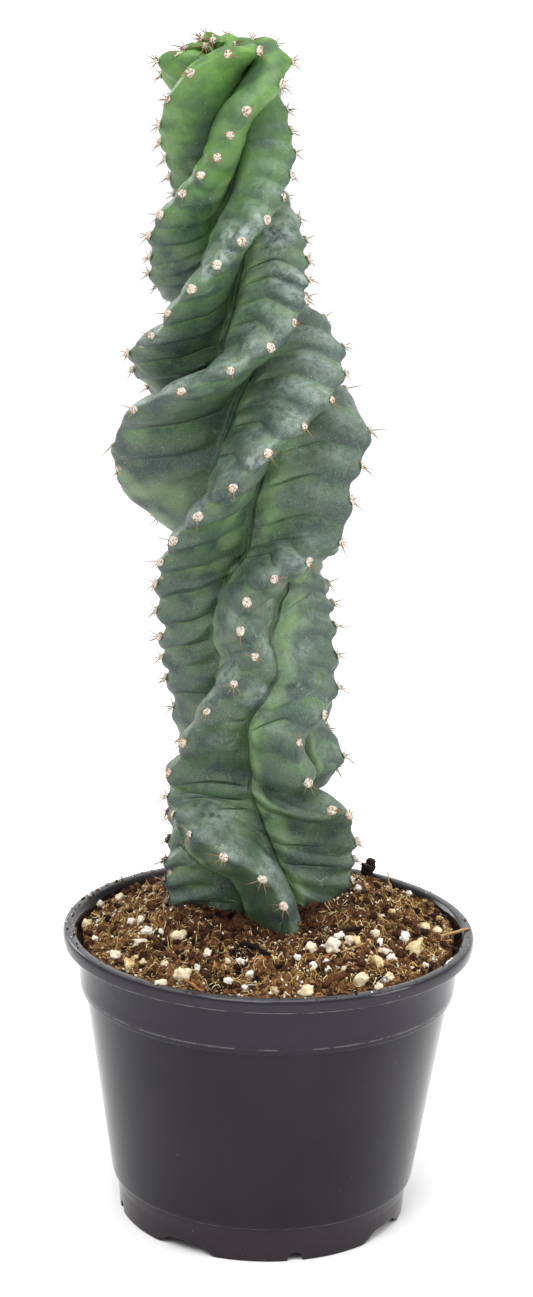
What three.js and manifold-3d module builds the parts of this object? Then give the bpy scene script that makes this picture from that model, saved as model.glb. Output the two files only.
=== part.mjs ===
// A columnar cactus with four twisted ribs, in a black plastic nursery pot filled with potting mix.
// Millimetres, +Z up. The origin is the centre of the circle that the pot stands on.
// The plant's front is towards -Y. A turn is counted in degrees from the front, growing towards +X.

import * as THREE from 'three';
import { mergeVertices } from 'three/addons/utils/BufferGeometryUtils.js';
import Module from 'manifold-3d';

const wasm = await Module();
wasm.setup();

// Driving dimensions.
const RIM_RADIUS = 82.5;
const RIM_HEIGHT = 119;
const WALL = 1.4;
const FLOOR_UNDERSIDE = 5.5;
const FLOOR_TOP = 7;
const FOOT_RADIUS = 57.9;
const FOOT_WIDTH = 2;
const SEGMENTS = 48;
const STEM_CLEARANCE = 0.5;
const SOIL_LINE = 128;

const up = new THREE.Vector3(0, 0, 1);

// Shared helpers.

function radial(turn) {
  const angle = THREE.MathUtils.degToRad(turn);
  return new THREE.Vector3(Math.sin(angle), -Math.cos(angle), 0);
}

function sideways(turn) {
  const angle = THREE.MathUtils.degToRad(turn);
  return new THREE.Vector3(Math.cos(angle), Math.sin(angle), 0);
}

// Goes smoothly from 0 at the start to 1 at the end, which may lie on either side of it.
function ramp(value, start, end) {
  const t = THREE.MathUtils.clamp((value - start) / (end - start), 0, 1);
  return t * t * (3 - 2 * t);
}

// A repeatable stream of numbers from 0 to 1.
function randomStream(seed) {
  let state = seed;
  return () => {
    state = (state * 16807) % 2147483647;
    return state / 2147483647;
  };
}

// Reads a table whose rows are [position, value, value, ...] at a position, along smooth cubic curves.
function readTable(rows, position) {
  const last = rows.length - 1;
  let i = 0;
  while (i < last - 1 && position > rows[i + 1][0]) i += 1;
  const slope = (j, column) => {
    const before = rows[Math.max(j - 1, 0)];
    const after = rows[Math.min(j + 1, last)];
    return (after[column] - before[column]) / (after[0] - before[0]);
  };
  const span = rows[i + 1][0] - rows[i][0];
  const t = THREE.MathUtils.clamp((position - rows[i][0]) / span, 0, 1);
  return rows[i].slice(1).map((start, c) => {
    const end = rows[i + 1][c + 1];
    const leave = slope(i, c + 1) * span;
    const arrive = slope(i + 1, c + 1) * span;
    const cube = 2 * start - 2 * end + leave + arrive;
    const square = 3 * end - 3 * start - 2 * leave - arrive;
    return ((cube * t + square) * t + leave) * t + start;
  });
}

// Closes a stack of rings of points, with one pole below the first ring and one past the last.
function skin(rings, firstPole, lastPole) {
  const count = rings[0].length;
  const points = [...rings.flat(), firstPole, lastPole];
  const faces = [];
  const firstIndex = rings.length * count;
  for (let i = 0; i < count; i += 1) {
    const next = (i + 1) % count;
    faces.push(firstIndex, next, i);
    const top = (rings.length - 1) * count;
    faces.push(firstIndex + 1, top + i, top + next);
    for (let row = 0; row < rings.length - 1; row += 1) {
      const low = row * count;
      const high = low + count;
      faces.push(low + i, low + next, high + next);
      faces.push(low + i, high + next, high + i);
    }
  }
  const geometry = new THREE.BufferGeometry();
  geometry.setAttribute('position', new THREE.Float32BufferAttribute(points.flatMap((p) => p.toArray()), 3));
  geometry.setIndex(faces);
  return geometry;
}

function toSolid(geometry) {
  const bare = geometry.clone();
  bare.deleteAttribute('normal');
  bare.deleteAttribute('uv');
  const merged = mergeVertices(bare, 1e-4);
  const vertProperties = new Float32Array(merged.attributes.position.array);
  const triVerts = new Uint32Array(merged.index.array);
  return new wasm.Manifold(new wasm.Mesh({ numProp: 3, vertProperties, triVerts }));
}

function toGeometry(solid) {
  const mesh = solid.getMesh();
  const geometry = new THREE.BufferGeometry();
  geometry.setAttribute('position', new THREE.Float32BufferAttribute(mesh.vertProperties, 3));
  geometry.setIndex([...mesh.triVerts]);
  geometry.computeVertexNormals();
  return geometry;
}

// Moves a small shape made round its own origin so that its +Z points along a direction.
function place(geometry, position, direction) {
  const turn = new THREE.Quaternion().setFromUnitVectors(up, direction.clone().normalize());
  return geometry.applyQuaternion(turn).translate(position.x, position.y, position.z);
}

// The stem: ribs.
// There is one table per rib. A row is [spine cushion number from the top, height, turn, reach].
// Between whole numbers a rib swells into a knob and sinks into a notch.

const RIBS = [
  [
    [-4, 466.5, 90, 4], [-2, 466, -25, 11], [-1, 464, -58, 18], [1, 458.5, -90, 25],
    [3, 446, -130, 25.5], [6, 423, -190, 26], [9, 401, -253, 29.5], [11, 387, -284, 31.5],
    [13, 374, -307, 34], [15, 358, -340, 37.5], [17, 341, -390, 42.5], [18, 331, -421, 45.5],
    [19, 313, -450, 49], [20, 300, -461, 47], [22, 278, -486, 41.5], [26, 245, -540, 36],
    [29, 220, -575, 35], [32, 190, -626, 36], [34, 174, -583, 37], [36, 158, -553, 37],
    [38, 135, -542, 36], [43, 100, -535, 27],
  ],
  [
    [-4, 467, 240, 3], [-2, 468, 120, 9], [0, 464, 45, 16], [1, 463, 1, 19],
    [2, 456, -32, 24], [4, 435.5, -80, 25.5], [6, 422, -101, 25.5], [8, 408, -129, 27],
    [12, 382, -195, 32], [15, 362.5, -252, 36.5], [16, 353.5, -271, 40.5], [18, 337.5, -309, 43],
    [20, 320, -347, 44.5], [21, 306.5, -363, 43.5], [23, 282.5, -401, 38.5], [25, 261, -434, 35.5],
    [27, 236.5, -454, 35], [29, 217.5, -468, 35], [31, 190.5, -487, 36.5], [33, 172, -478, 37],
    [35, 156, -442, 38.5], [36, 149, -434, 40], [38, 134, -428, 39], [43, 100, -420, 27],
  ],
  [
    [-4, 467, 320, 3], [-2, 468.5, 200, 9.5], [0, 467, 112, 18], [1, 460, 72, 24],
    [3, 443, 18, 25], [5, 426, -7, 25], [7, 412, -38, 26], [9, 394, -86, 30.5],
    [11, 378, -106, 33.5], [15.5, 355, -178, 39], [20, 334, -244, 43.5], [21, 321.5, -271, 48],
    [23, 296, -284, 43], [24, 278, -284, 39.5], [25, 272.5, -315, 37.5], [27, 261, -359, 35.5],
    [29, 239.5, -355, 34.5], [31, 216, -389, 34], [33, 185.5, -431, 35.5], [34, 175, -435, 36],
    [36, 165.5, -404, 37], [38, 151.5, -357, 37.5], [40, 128, -338, 35], [43, 100, -330, 27],
  ],
  [
    [-4, 467, 410, 3], [-2, 468, 285, 9.5], [0, 465, 190, 18], [1.5, 456, 145, 24],
    [3, 443, 108, 25], [5, 426.5, 82, 26], [7, 411, 53, 26.5], [9, 396, 10, 29.5],
    [11, 378, -26, 33], [13, 357.5, -68, 39], [14, 349, -88, 42], [17, 324, -135, 42],
    [20, 300, -180, 40], [25, 257.5, -247, 35.5], [27, 244, -270, 35.5], [29, 221, -282, 34.5],
    [31, 204.5, -328, 34], [32, 188, -323, 35], [33, 175, -306, 36], [34, 169.5, -286, 37.5],
    [35, 156, -273, 39], [36, 148, -270, 38], [38, 130, -266, 35], [43, 100, -258, 27],
  ],
];

// Rows of [height, sideways lean of the stem's axis].
const LEAN = [
  [70, -2], [138, -4], [213, -9], [293, -15], [332, -15.5], [360, -18.5], [408, -22.8], [475, -24.5],
];

// Rows of [spine cushion number, depth of the notch below each knob].
const NOTCH_DEPTH = [[-4, 0.2], [2, 0.5], [8, 0.8], [14, 1.5], [20, 2.1], [30, 2.5], [38, 1.8], [43, 0]];

const FIRST_ROW = -4;
const FIRST_BURIED = 40;
const LAST_ROW = 43;
const APEX_HEIGHT = 464.5;
const ROOT_HEIGHT = 90;
// A rib's half thickness at its root, its middle and its edge, as a share of its reach and at most in mm.
const ROOT_HALF = [0.24, 12];
const MIDDLE_HALF = [0.42, 10.5];
const EDGE_HALF = [0.28, 7.4];

// Rises gently from a notch, through the spine cushion at a whole number, to a knob, then drops steeply.
const KNOB_AT = 0.2;
const NOTCH_AT = 0.58;
function knobs(number) {
  const f = number - Math.floor(number);
  if (f < KNOB_AT) return 0.3 * ramp(f, -KNOB_AT, KNOB_AT);
  if (f < NOTCH_AT) return 0.3 - ramp(f, KNOB_AT, NOTCH_AT);
  return -0.7 + 0.85 * ramp(f, NOTCH_AT, 1 + KNOB_AT);
}

function halfThickness([share, most], reach) {
  return Math.min(share * reach, most);
}

function leanAt(height) {
  return new THREE.Vector3(readTable(LEAN, height)[0], 0, height);
}

function ribAt(rib, number) {
  const [height, turn, reach] = readTable(RIBS[rib], number);
  return { height, turn, reach };
}

// The crest of a rib with the directions outwards and across it. Across is level with the rib's slope.
function crestAt(rib, number, clearance) {
  const { height, turn, reach } = ribAt(rib, number);
  const above = ribAt(rib, number - 0.5);
  const below = ribAt(rib, number + 0.5);
  const rise = Math.max(above.height - below.height, 0.5);
  const run = THREE.MathUtils.degToRad(above.turn - below.turn) * reach;
  const slant = Math.hypot(rise, run);
  const out = radial(turn);
  const across = sideways(turn).multiplyScalar(rise / slant).addScaledVector(up, -run / slant);
  const depth = readTable(NOTCH_DEPTH, number)[0];
  const tip = reach + depth * knobs(number) + clearance;
  const point = leanAt(height).addScaledVector(out, tip);
  return { point, out, across, height, turn, reach: tip, depth };
}

// One ring of the stem: each rib's two flanks, as cubic curves from the furrow out to the crest.
const FLANK_STEPS = [0, 0.45, 0.8];
function stemRing(number, clearance) {
  const crests = RIBS.map((_, rib) => crestAt(rib, number, clearance));
  const furrows = crests.map((crest, rib) => {
    const next = crests[(rib + 1) % crests.length];
    const nextTurn = next.turn + (rib === crests.length - 1 ? 360 : 0);
    const halfAngle = THREE.MathUtils.degToRad(Math.max((nextTurn - crest.turn) / 2, 22));
    const reach = (crest.reach + next.reach) / 2;
    const radius = halfThickness(ROOT_HALF, reach) / Math.sin(halfAngle) + clearance;
    const height = (crest.height + next.height) / 2;
    return { radius, point: leanAt(height).addScaledVector(radial((crest.turn + nextTurn) / 2), radius) };
  });
  const ring = [];
  crests.forEach((crest, rib) => {
    const flank = (side) => {
      const furrow = furrows[(rib + (side > 0 ? 0 : 3)) % 4];
      const edgeSwell = 0.25 * crest.depth * knobs(number);
      const middleSwell = 0.3 * crest.depth * knobs(number + 0.25);
      const edgeHalf = halfThickness(EDGE_HALF, crest.reach) + edgeSwell + clearance;
      const edge = crest.point.clone()
        .addScaledVector(crest.across, side * edgeHalf)
        .addScaledVector(crest.out, -0.05 * crest.reach);
      const middleHalf = halfThickness(MIDDLE_HALF, crest.reach) + middleSwell + clearance;
      const middle = crest.point.clone()
        .addScaledVector(crest.across, side * middleHalf)
        .addScaledVector(crest.out, -0.6 * (crest.reach - furrow.radius));
      return new THREE.CubicBezierCurve3(furrow.point, middle, edge, crest.point);
    };
    const left = flank(-1);
    const right = flank(1);
    FLANK_STEPS.forEach((t) => ring.push(left.getPoint(t)));
    ring.push(crest.point);
    FLANK_STEPS.slice(1).reverse().forEach((t) => ring.push(right.getPoint(t)));
  });
  return ring;
}

function stemBody(clearance) {
  const rings = [];
  for (let number = LAST_ROW; number > FIRST_BURIED; number -= 1) rings.push(stemRing(number, clearance));
  for (let whole = FIRST_BURIED; whole >= FIRST_ROW; whole -= 1) {
    rings.push(stemRing(whole + NOTCH_AT, clearance), stemRing(whole + KNOB_AT, clearance));
  }
  return skin(rings, leanAt(ROOT_HEIGHT - clearance), leanAt(APEX_HEIGHT + clearance));
}

// The stem: woolly cushions, each with a few stiff spines, set at every whole number above the soil.

const CUSHION_RADIUS = 2.1;
const CUSHION_RISE = 1.3;
const SPINE_RADIUS = 0.45;
const SPINE_LENGTHS = [4.5, 8];
const SPINE_TILTS = [0.5, 1.2];
const STEM_SEED = 4711;
const FIRST_CUSHION = -2;
const SOIL_MARGIN = 6;

// The crest at a cushion, on the straight facet edge between the notch above it and the knob below it.
function cushionCrest(rib, number) {
  const crest = crestAt(rib, number, 0);
  const notch = crestAt(rib, number - 1 + NOTCH_AT, 0).point;
  const knob = crestAt(rib, number + KNOB_AT, 0).point;
  crest.point = notch.lerp(knob, (1 - NOTCH_AT) / (1 - NOTCH_AT + KNOB_AT));
  return crest;
}

function cushion(crest) {
  const shape = new THREE.OctahedronGeometry(CUSHION_RADIUS).scale(1, 1, CUSHION_RISE / CUSHION_RADIUS);
  return toSolid(place(shape, crest.point, crest.out));
}

// A needle with three sides, its root at its own origin and its point on +Z.
function needle(length) {
  const root = [0, 120, 240].map((turn) => radial(turn).multiplyScalar(SPINE_RADIUS));
  const corners = [...root, new THREE.Vector3(0, 0, length)];
  const geometry = new THREE.BufferGeometry();
  geometry.setAttribute('position', new THREE.Float32BufferAttribute(corners.flatMap((p) => p.toArray()), 3));
  geometry.setIndex([0, 2, 1, 0, 1, 3, 1, 2, 3, 2, 0, 3]);
  return geometry;
}

function spine(crest, tilt, sweep, length) {
  const along = crest.across.clone().cross(crest.out).normalize();
  const lean = crest.across.clone().multiplyScalar(Math.cos(sweep)).addScaledVector(along, Math.sin(sweep));
  const direction = crest.out.clone().multiplyScalar(Math.cos(tilt)).addScaledVector(lean, Math.sin(tilt));
  return toSolid(place(needle(length), crest.point, direction));
}

function stemSolid() {
  const random = randomStream(STEM_SEED);
  const parts = [toSolid(stemBody(0))];
  RIBS.forEach((_, rib) => {
    for (let number = FIRST_CUSHION; number <= FIRST_BURIED; number += 1) {
      const crest = cushionCrest(rib, number);
      if (crest.point.z < SOIL_LINE + SOIL_MARGIN) continue;
      parts.push(cushion(crest));
      const firstSweep = random() * Math.PI;
      for (let i = 0; i <= Math.abs(number % 2); i += 1) {
        const length = THREE.MathUtils.lerp(...SPINE_LENGTHS, random());
        const tilt = THREE.MathUtils.lerp(...SPINE_TILTS, random());
        parts.push(spine(crest, tilt, firstSweep + i * Math.PI + random(), length));
      }
    }
  });
  return wasm.Manifold.union(parts);
}

// The pot: a turned profile with the foot's notches and the floor's drain holes cut out.

function potProfile() {
  const outside = [
    [FOOT_RADIUS - FOOT_WIDTH, 0], [FOOT_RADIUS, 0], [58.9, 14.6], [60.6, 15], [61.2, 16],
    [73.2, 93.6], [74.8, 94.6], [75.4, 97], [76.3, 113.4], [RIM_RADIUS - 0.4, 113.8], [RIM_RADIUS, 114.6],
    [RIM_RADIUS, 118.2], [RIM_RADIUS - 0.7, RIM_HEIGHT], [78.2, RIM_HEIGHT],
  ];
  const inside = [
    [77.2, 118], [74.8, 113.5], [74, 97], [73.2 - WALL, 94], [61.2 - WALL, 16.5], [FOOT_RADIUS + 0.4, 8],
    [FOOT_RADIUS - 0.6, FLOOR_TOP], [0, FLOOR_TOP], [0, FLOOR_UNDERSIDE],
    [FOOT_RADIUS - FOOT_WIDTH, FLOOR_UNDERSIDE],
  ];
  return [...outside, ...inside, outside[0]].map(([r, z]) => new THREE.Vector2(r, z));
}

// A bar that runs outwards at a turn, with a cross-section given as [sideways, height] points.
function bar(section, turn, start, end) {
  const shape = new THREE.Shape(section.map(([x, z]) => new THREE.Vector2(x, z)));
  const geometry = new THREE.ExtrudeGeometry(shape, { depth: end - start, bevelEnabled: false });
  geometry.rotateX(Math.PI / 2).translate(0, -start, 0).rotateZ(THREE.MathUtils.degToRad(turn));
  return toSolid(geometry);
}

const NOTCH_TURN = -31;
const NOTCH_INSET = 8;
const NOTCH_OVERRUN = 4;
const WIDE_NOTCH = [[-14.2, -1], [-13.6, 0], [-7, 4.2], [7, 4.2], [13.6, 0], [14.2, -1]];
const SMALL_NOTCH_RADIUS = 3.2;
const SMALL_NOTCH_LIFT = 0.4;
const SMALL_NOTCH_STEPS = 6;
const DRAIN_RADIUS = 5;
const DRAIN_AT = 44;

function smallNotch() {
  const section = [[-SMALL_NOTCH_RADIUS, -1], [SMALL_NOTCH_RADIUS, -1]];
  for (let i = 0; i <= SMALL_NOTCH_STEPS; i += 1) {
    const angle = Math.PI * i / SMALL_NOTCH_STEPS;
    const height = SMALL_NOTCH_LIFT + SMALL_NOTCH_RADIUS * Math.sin(angle);
    section.push([SMALL_NOTCH_RADIUS * Math.cos(angle), height]);
  }
  return section;
}

function potSolid() {
  const turned = new THREE.LatheGeometry(potProfile(), SEGMENTS).rotateX(Math.PI / 2);
  let solid = toSolid(turned);
  const start = FOOT_RADIUS - NOTCH_INSET;
  const end = FOOT_RADIUS + NOTCH_OVERRUN;
  for (let quarter = 0; quarter < 4; quarter += 1) {
    const turn = NOTCH_TURN + 90 * quarter;
    const drain = new THREE.CylinderGeometry(DRAIN_RADIUS, DRAIN_RADIUS, 6, 16).rotateX(Math.PI / 2);
    const centre = radial(turn).multiplyScalar(DRAIN_AT);
    solid = solid.subtract(bar(WIDE_NOTCH, turn, start, end));
    solid = solid.subtract(bar(smallNotch(), turn + 45, start, end));
    solid = solid.subtract(toSolid(drain.translate(centre.x, centre.y, FLOOR_TOP)));
  }
  return solid;
}

// The soil: it fills the pot, is low at the back left, and is heaped round the stem.

const SOIL_SIDE = [[57.1, 7.3], [59.4, 16.5], [71.4, 94.3], [73.6, 97.4], [74.1, 108]];
const SOIL_EDGE = 74.4;
const SOIL_RINGS = [68, 61, 54, 47, 40, 30, 16];
const HIGH_SIDE_TURN = 70;
const HEAP_TURN = 105;

function soilHeight(turn, radius) {
  const fromHighSide = THREE.MathUtils.degToRad(turn - HIGH_SIDE_TURN);
  const fromHeap = THREE.MathUtils.degToRad(turn - HEAP_TURN);
  const atRim = 115 + 3.2 * Math.cos(fromHighSide);
  const heap = 13 + 3.5 * Math.cos(2 * fromHeap);
  const lumps = Math.sin(0.31 * radius + turn * 0.09) * Math.sin(turn * 0.13 + 1) * ramp(radius, 76, 66);
  return atRim + heap * ramp(radius, 76, 34) + 1.1 * lumps;
}

function soilPoint(turn, radius, sink) {
  return radial(turn).multiplyScalar(radius).setZ(soilHeight(turn, radius) - sink);
}

function soilBody() {
  const ring = (makePoint) => Array.from({ length: SEGMENTS }, (_, i) => makePoint(360 * i / SEGMENTS));
  const rings = SOIL_SIDE.map(([r, z]) => ring((turn) => radial(turn).multiplyScalar(r).setZ(z)));
  rings.push(ring((turn) => soilPoint(turn, SOIL_EDGE, 0)));
  SOIL_RINGS.forEach((radius) => rings.push(ring((turn) => soilPoint(turn, radius, 0))));
  return skin(rings, new THREE.Vector3(0, 0, 7.3), new THREE.Vector3(0, 0, soilHeight(0, 0)));
}

const SOIL_SEED = 909;
const GRAINS = 36;
const CHIPS = 14;
const LITTER_FROM = 49;
const LITTER_WIDTH = 20;
const FULL_TURN = 2 * Math.PI;

function soilSolid() {
  const random = randomStream(SOIL_SEED);
  const parts = [toSolid(soilBody()).subtract(toSolid(stemBody(STEM_CLEARANCE)))];
  for (let i = 0; i < GRAINS; i += 1) {
    const size = 0.9 + 1.7 * random() ** 2;
    const at = soilPoint(360 * random(), LITTER_FROM + LITTER_WIDTH * random(), 0.25 * size);
    const grain = new THREE.IcosahedronGeometry(size, 0).scale(1, 0.85, 0.75);
    parts.push(toSolid(grain.rotateZ(FULL_TURN * random()).rotateX(random()).translate(at.x, at.y, at.z)));
  }
  for (let i = 0; i < CHIPS; i += 1) {
    const at = soilPoint(360 * random(), LITTER_FROM + LITTER_WIDTH * random(), 0);
    const chip = new THREE.BoxGeometry(5 + 6 * random(), 2.4, 1.4).rotateY(0.3 * random());
    parts.push(toSolid(chip.rotateZ(FULL_TURN * random()).translate(at.x, at.y, at.z)));
  }
  return wasm.Manifold.union(parts);
}

// Materials and assembly.

const blackPlastic = new THREE.MeshStandardMaterial({ color: 0x3d3d43, roughness: 0.42, metalness: 0 });
const pottingMix = new THREE.MeshStandardMaterial({ color: 0x59402b, roughness: 1, metalness: 0 });
const waxySkin = new THREE.MeshStandardMaterial({ color: 0x4d7350, roughness: 0.6, metalness: 0 });

function piece(name, solid, material) {
  const mesh = new THREE.Mesh(toGeometry(solid), material);
  mesh.name = name;
  mesh.material.flatShading = true;
  return mesh;
}

const plant = new THREE.Group();
plant.add(piece('pot', potSolid(), blackPlastic));
plant.add(piece('soil', soilSolid(), pottingMix));
plant.add(piece('stem', stemSolid(), waxySkin));

export default plant;
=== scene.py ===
import functools
import itertools

import bmesh
import bpy
import numpy as np
from mathutils import Matrix, Vector


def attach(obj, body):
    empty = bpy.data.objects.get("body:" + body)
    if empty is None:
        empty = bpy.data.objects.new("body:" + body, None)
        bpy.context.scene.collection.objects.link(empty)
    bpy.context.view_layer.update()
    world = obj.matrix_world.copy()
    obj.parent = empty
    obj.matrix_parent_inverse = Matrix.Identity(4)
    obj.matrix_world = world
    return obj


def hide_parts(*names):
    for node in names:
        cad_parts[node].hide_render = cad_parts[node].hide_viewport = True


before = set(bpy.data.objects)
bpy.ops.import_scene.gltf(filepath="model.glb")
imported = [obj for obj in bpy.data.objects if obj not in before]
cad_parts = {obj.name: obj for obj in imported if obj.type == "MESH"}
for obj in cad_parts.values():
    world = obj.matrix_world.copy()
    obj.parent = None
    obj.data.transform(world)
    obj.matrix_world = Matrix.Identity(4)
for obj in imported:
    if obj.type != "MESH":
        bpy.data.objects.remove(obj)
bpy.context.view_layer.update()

# The camera. It stands 1.17 m in front of the pot and looks down a little, rolled slightly, through a long
# lens whose centre lies just right of the picture's middle. All values were solved from the pot's ellipses.

MM = 0.001
PICTURE_WIDTH = 533
PICTURE_HEIGHT = 1297
FOCAL_PIXELS = 3000
SENSOR = 36
AIM_HEIGHT = 233.8
DISTANCE = 1173.6
ELEVATION = np.radians(14.81)
ROLL = np.radians(1.57)
RIGHTWARD_PIXELS = 9.72
FORWARD = np.array([0, np.cos(ELEVATION), -np.sin(ELEVATION)])
LEVEL_UP = np.array([0, np.sin(ELEVATION), np.cos(ELEVATION)])
LEVEL_RIGHT = np.array([1, 0, 0])
CAMERA_RIGHT = LEVEL_RIGHT * np.cos(ROLL) + LEVEL_UP * np.sin(ROLL)
CAMERA_UP = LEVEL_UP * np.cos(ROLL) - LEVEL_RIGHT * np.sin(ROLL)
CAMERA_PLACE = np.array([0, 0, AIM_HEIGHT]) - FORWARD * DISTANCE

camera_data = bpy.data.cameras.new("camera")
camera_data.sensor_width = SENSOR
camera_data.lens = FOCAL_PIXELS / PICTURE_HEIGHT * SENSOR
camera_data.shift_x = -RIGHTWARD_PIXELS / PICTURE_HEIGHT
camera_data.dof.use_dof = False
camera_data.clip_start = 0.05
camera_data.clip_end = 20
camera = bpy.data.objects.new("camera", camera_data)
camera_axes = Matrix([CAMERA_RIGHT, CAMERA_UP, -FORWARD]).transposed()
camera.matrix_world = Matrix.Translation(CAMERA_PLACE * MM) @ camera_axes.to_4x4()
bpy.context.collection.objects.link(camera)
bpy.context.scene.camera = camera

# The stem's skin. It is one closed surface: four ribs that twist round a leaning axis, with a narrow
# furrow between each two. Each rib swells below every spine cushion and creases above the next one.

# One table per rib. A row is [spine cushion number from the top, height, turn, reach from the axis].
# Heights and reaches are in millimetres. A turn is in degrees from the front, growing to the right.
RIBS = [
    [
        [-4, 467, 120, 4], [-3, 466, 56, 7.2], [-2.5, 462.8, -5, 8.7], [-2, 465.2, -41, 8.8],
        [-1, 463.6, -92, 14.7], [0, 460.6, -74, 18], [1, 458.5, -90, 25], [3, 446, -130, 25.5],
        [6, 423, -190, 26], [9, 401, -253, 27.6], [11, 387, -284, 29.8], [13, 374, -307, 34],
        [15, 358, -340, 37.5], [17, 341, -390, 42.5], [18, 331, -421, 45.5], [19, 313, -450, 49],
        [20, 300, -461, 48.5], [21, 289.5, -473, 46.5], [22, 280, -486, 42.5], [23, 272, -502, 38.5],
        [24.5, 260, -522, 35.5], [26, 245, -540, 35.5], [29, 220, -575, 35], [32, 190, -626, 36],
        [34, 174, -579, 37], [36, 158, -553, 37], [38, 135, -542, 36], [43, 100, -535, 27],
    ],
    [
        [-4, 467.5, 240, 3], [-2, 467.8, 163, 7.5], [-1, 467, 102, 9.5], [0, 464, 45, 16], [1, 463, 1, 19],
        [2, 456, -32, 24], [4, 435.5, -80, 25.5], [6, 422, -101, 25.5], [8, 408, -129, 27],
        [12, 382, -195, 32], [15, 362.5, -252, 36.5], [16, 353.5, -271, 40.5], [18, 337.5, -309, 43],
        [20, 320, -347, 44.5], [21, 306.5, -363, 43.5], [23, 282.5, -401, 38.5], [25, 261, -434, 35.5],
        [27, 236.5, -454, 35], [29, 217.5, -468, 35], [31, 190.5, -487, 36.5], [33, 172, -478, 37],
        [35, 156, -442, 38.5], [36, 149, -434, 40], [38, 134, -428, 39], [43, 100, -420, 27],
    ],
    [
        [-4, 467, 320, 3], [-2, 467.6, 216, 9.5], [-1, 465, 160, 13], [0, 465.5, 112, 18],
        [1, 460, 76, 24.3], [2, 452.5, 53, 25.5], [3, 443, 18, 25], [5, 426, -7, 25], [7, 412, -38, 26],
        [9, 394, -86, 30.5], [11, 378, -106, 33.5], [15.5, 355, -178, 39], [20, 334, -244, 43.5],
        [21, 321.5, -271, 48], [23, 296, -284, 43], [24, 279.5, -286, 38.5], [25, 275.5, -318, 37.5],
        [26, 270, -341, 36], [27, 261, -358, 35.5], [28, 249.5, -363, 35.2], [29, 239.5, -355, 34.5],
        [31, 216, -389, 34], [33, 185.5, -431, 35.5], [34, 175, -435, 36], [36, 165.5, -404, 37],
        [38, 151.5, -357, 37.5], [40, 128, -338, 35], [43, 100, -330, 27],
    ],
    [
        [-4, 467, 410, 3], [-2, 467, 262, 7.5], [-1, 462.5, 234, 13.5], [0, 460.5, 190, 18],
        [1, 457, 145, 22], [2, 449.5, 118, 24.5], [3, 441.5, 104, 23], [5, 426.5, 82, 24.2],
        [7, 411, 53, 26], [9, 396, 10, 29.5], [11, 378, -26, 33], [13, 357.5, -68, 39], [14, 349, -88, 42],
        [17, 324, -135, 42], [20, 300, -180, 40], [25, 257.5, -247, 35.5], [27, 244, -270, 35.5],
        [29, 221, -282, 34.5], [31, 204.5, -328, 34], [32, 188, -323, 35], [33, 175, -306, 36],
        [34, 169.5, -286, 37.5], [35, 156, -273, 39], [36, 148, -270, 38], [38, 130, -266, 35],
        [43, 100, -258, 27],
    ],
]
# [height, sideways lean of the axis] and [spine cushion number, depth of the notch below each knob].
LEAN = [
    [70, -2], [138, -4], [213, -9], [293, -15], [332, -15.5], [360, -18.5], [408, -22.8], [475, -24.5],
]
NOTCH_DEPTH = [[-4, 0.2], [2, 0.5], [7, 1.2], [14, 1.8], [20, 2.1], [25, 1.9], [30, 1.8], [38, 1.5], [43, 0]]
# Dents and bulges of the crests: [rib, cushion number, change of reach in mm, spread in cushion numbers].
TRIMS = [
    [3, 2.2, -3, 0.5], [3, 5.3, 1.5, 0.8], [0, 12.3, -0.5, 0.5], [1, 14.5, -3, 0.45], [1, 15.4, -1.3, 0.9],
    [2, 21.5, 2, 0.3], [2, 24.5, -4, 0.3], [3, 26.3, -2, 2], [0, 31, -6, 0.35], [0, 33, -2, 0.9],
    [0, 34.5, -4, 0.8], [3, 32.6, -19, 0.3], [3, 33.1, 4, 0.3], [0, 22.5, -4, 0.5], [2, 23.5, 2, 0.5],
    [1, 6.5, -2.2, 1.3], [2, 10.1, -1.5, 0.4], [3, 12.4, -4, 0.6], [3, 12.95, -3.5, 0.35],
    [0, 20.7, 4, 0.4], [1, 26.6, -1.6, 0.4], [1, 30.5, 3.5, 0.35], [2, 32.5, -1.6, 0.3], [1, 35, -2.8, 1.2],
    [0, 18.6, 1.8, 0.22], [0, 19.6, 1.8, 0.22], [0, 21.6, 1.4, 0.25],
]
# How far the middle of the crown lies from the leaning axis: to the left, to the back, and up.
CROWN_SHIFT = [-3, 4, -0.5]
KNOB_AT = 0.2
NOTCH_AT = 0.58
TOP_NUMBER = -4
ROOT_NUMBER = 42
APEX_HEIGHT = 464
ROOT_HEIGHT = 100
STEPS_PER_CUSHION = 13
FLANK_STEPS = 20
# A rib's half thickness at its root, its middle and its edge: a share of its reach, and at most in mm.
ROOT_HALF = (0.24, 12)
MIDDLE_HALF = (0.35, 9)
EDGE_HALF = (0.16, 4.4)
# How much of a notch's depth also shows in the thickness of the edge and of the middle.
EDGE_KNOB = 0.25
MIDDLE_KNOB = 0.3
# How far in from the crest the edge and the middle lie: shares of the reach and of the flank.
EDGE_INSET = 0.05
MIDDLE_INSET = 0.6
# A crest's slope is taken over this many cushion numbers each way.
SLOPE_SPAN = 0.7
LEAST_RISE = 0.7
# A furrow is never narrower than this half angle, in degrees.
LEAST_HALF_ANGLE = 22
# Steps across a flank lie closer together in the furrow: their places are a power of even places.
STEP_POWER = 1.25
# [number, how far the furrow drops below the crests, share by which the swollen flesh fills the furrow].
FURROW_FORM = [
    [-4, 2, 0], [-2, 6, 0], [0, 9, 0], [2, 8, 0], [5, 0, 0], [20, 0, 0], [26, 0, 0.45], [33, 0, 0.45],
    [37, 0, 0.28], [42, 0, 0.28],
]
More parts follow.
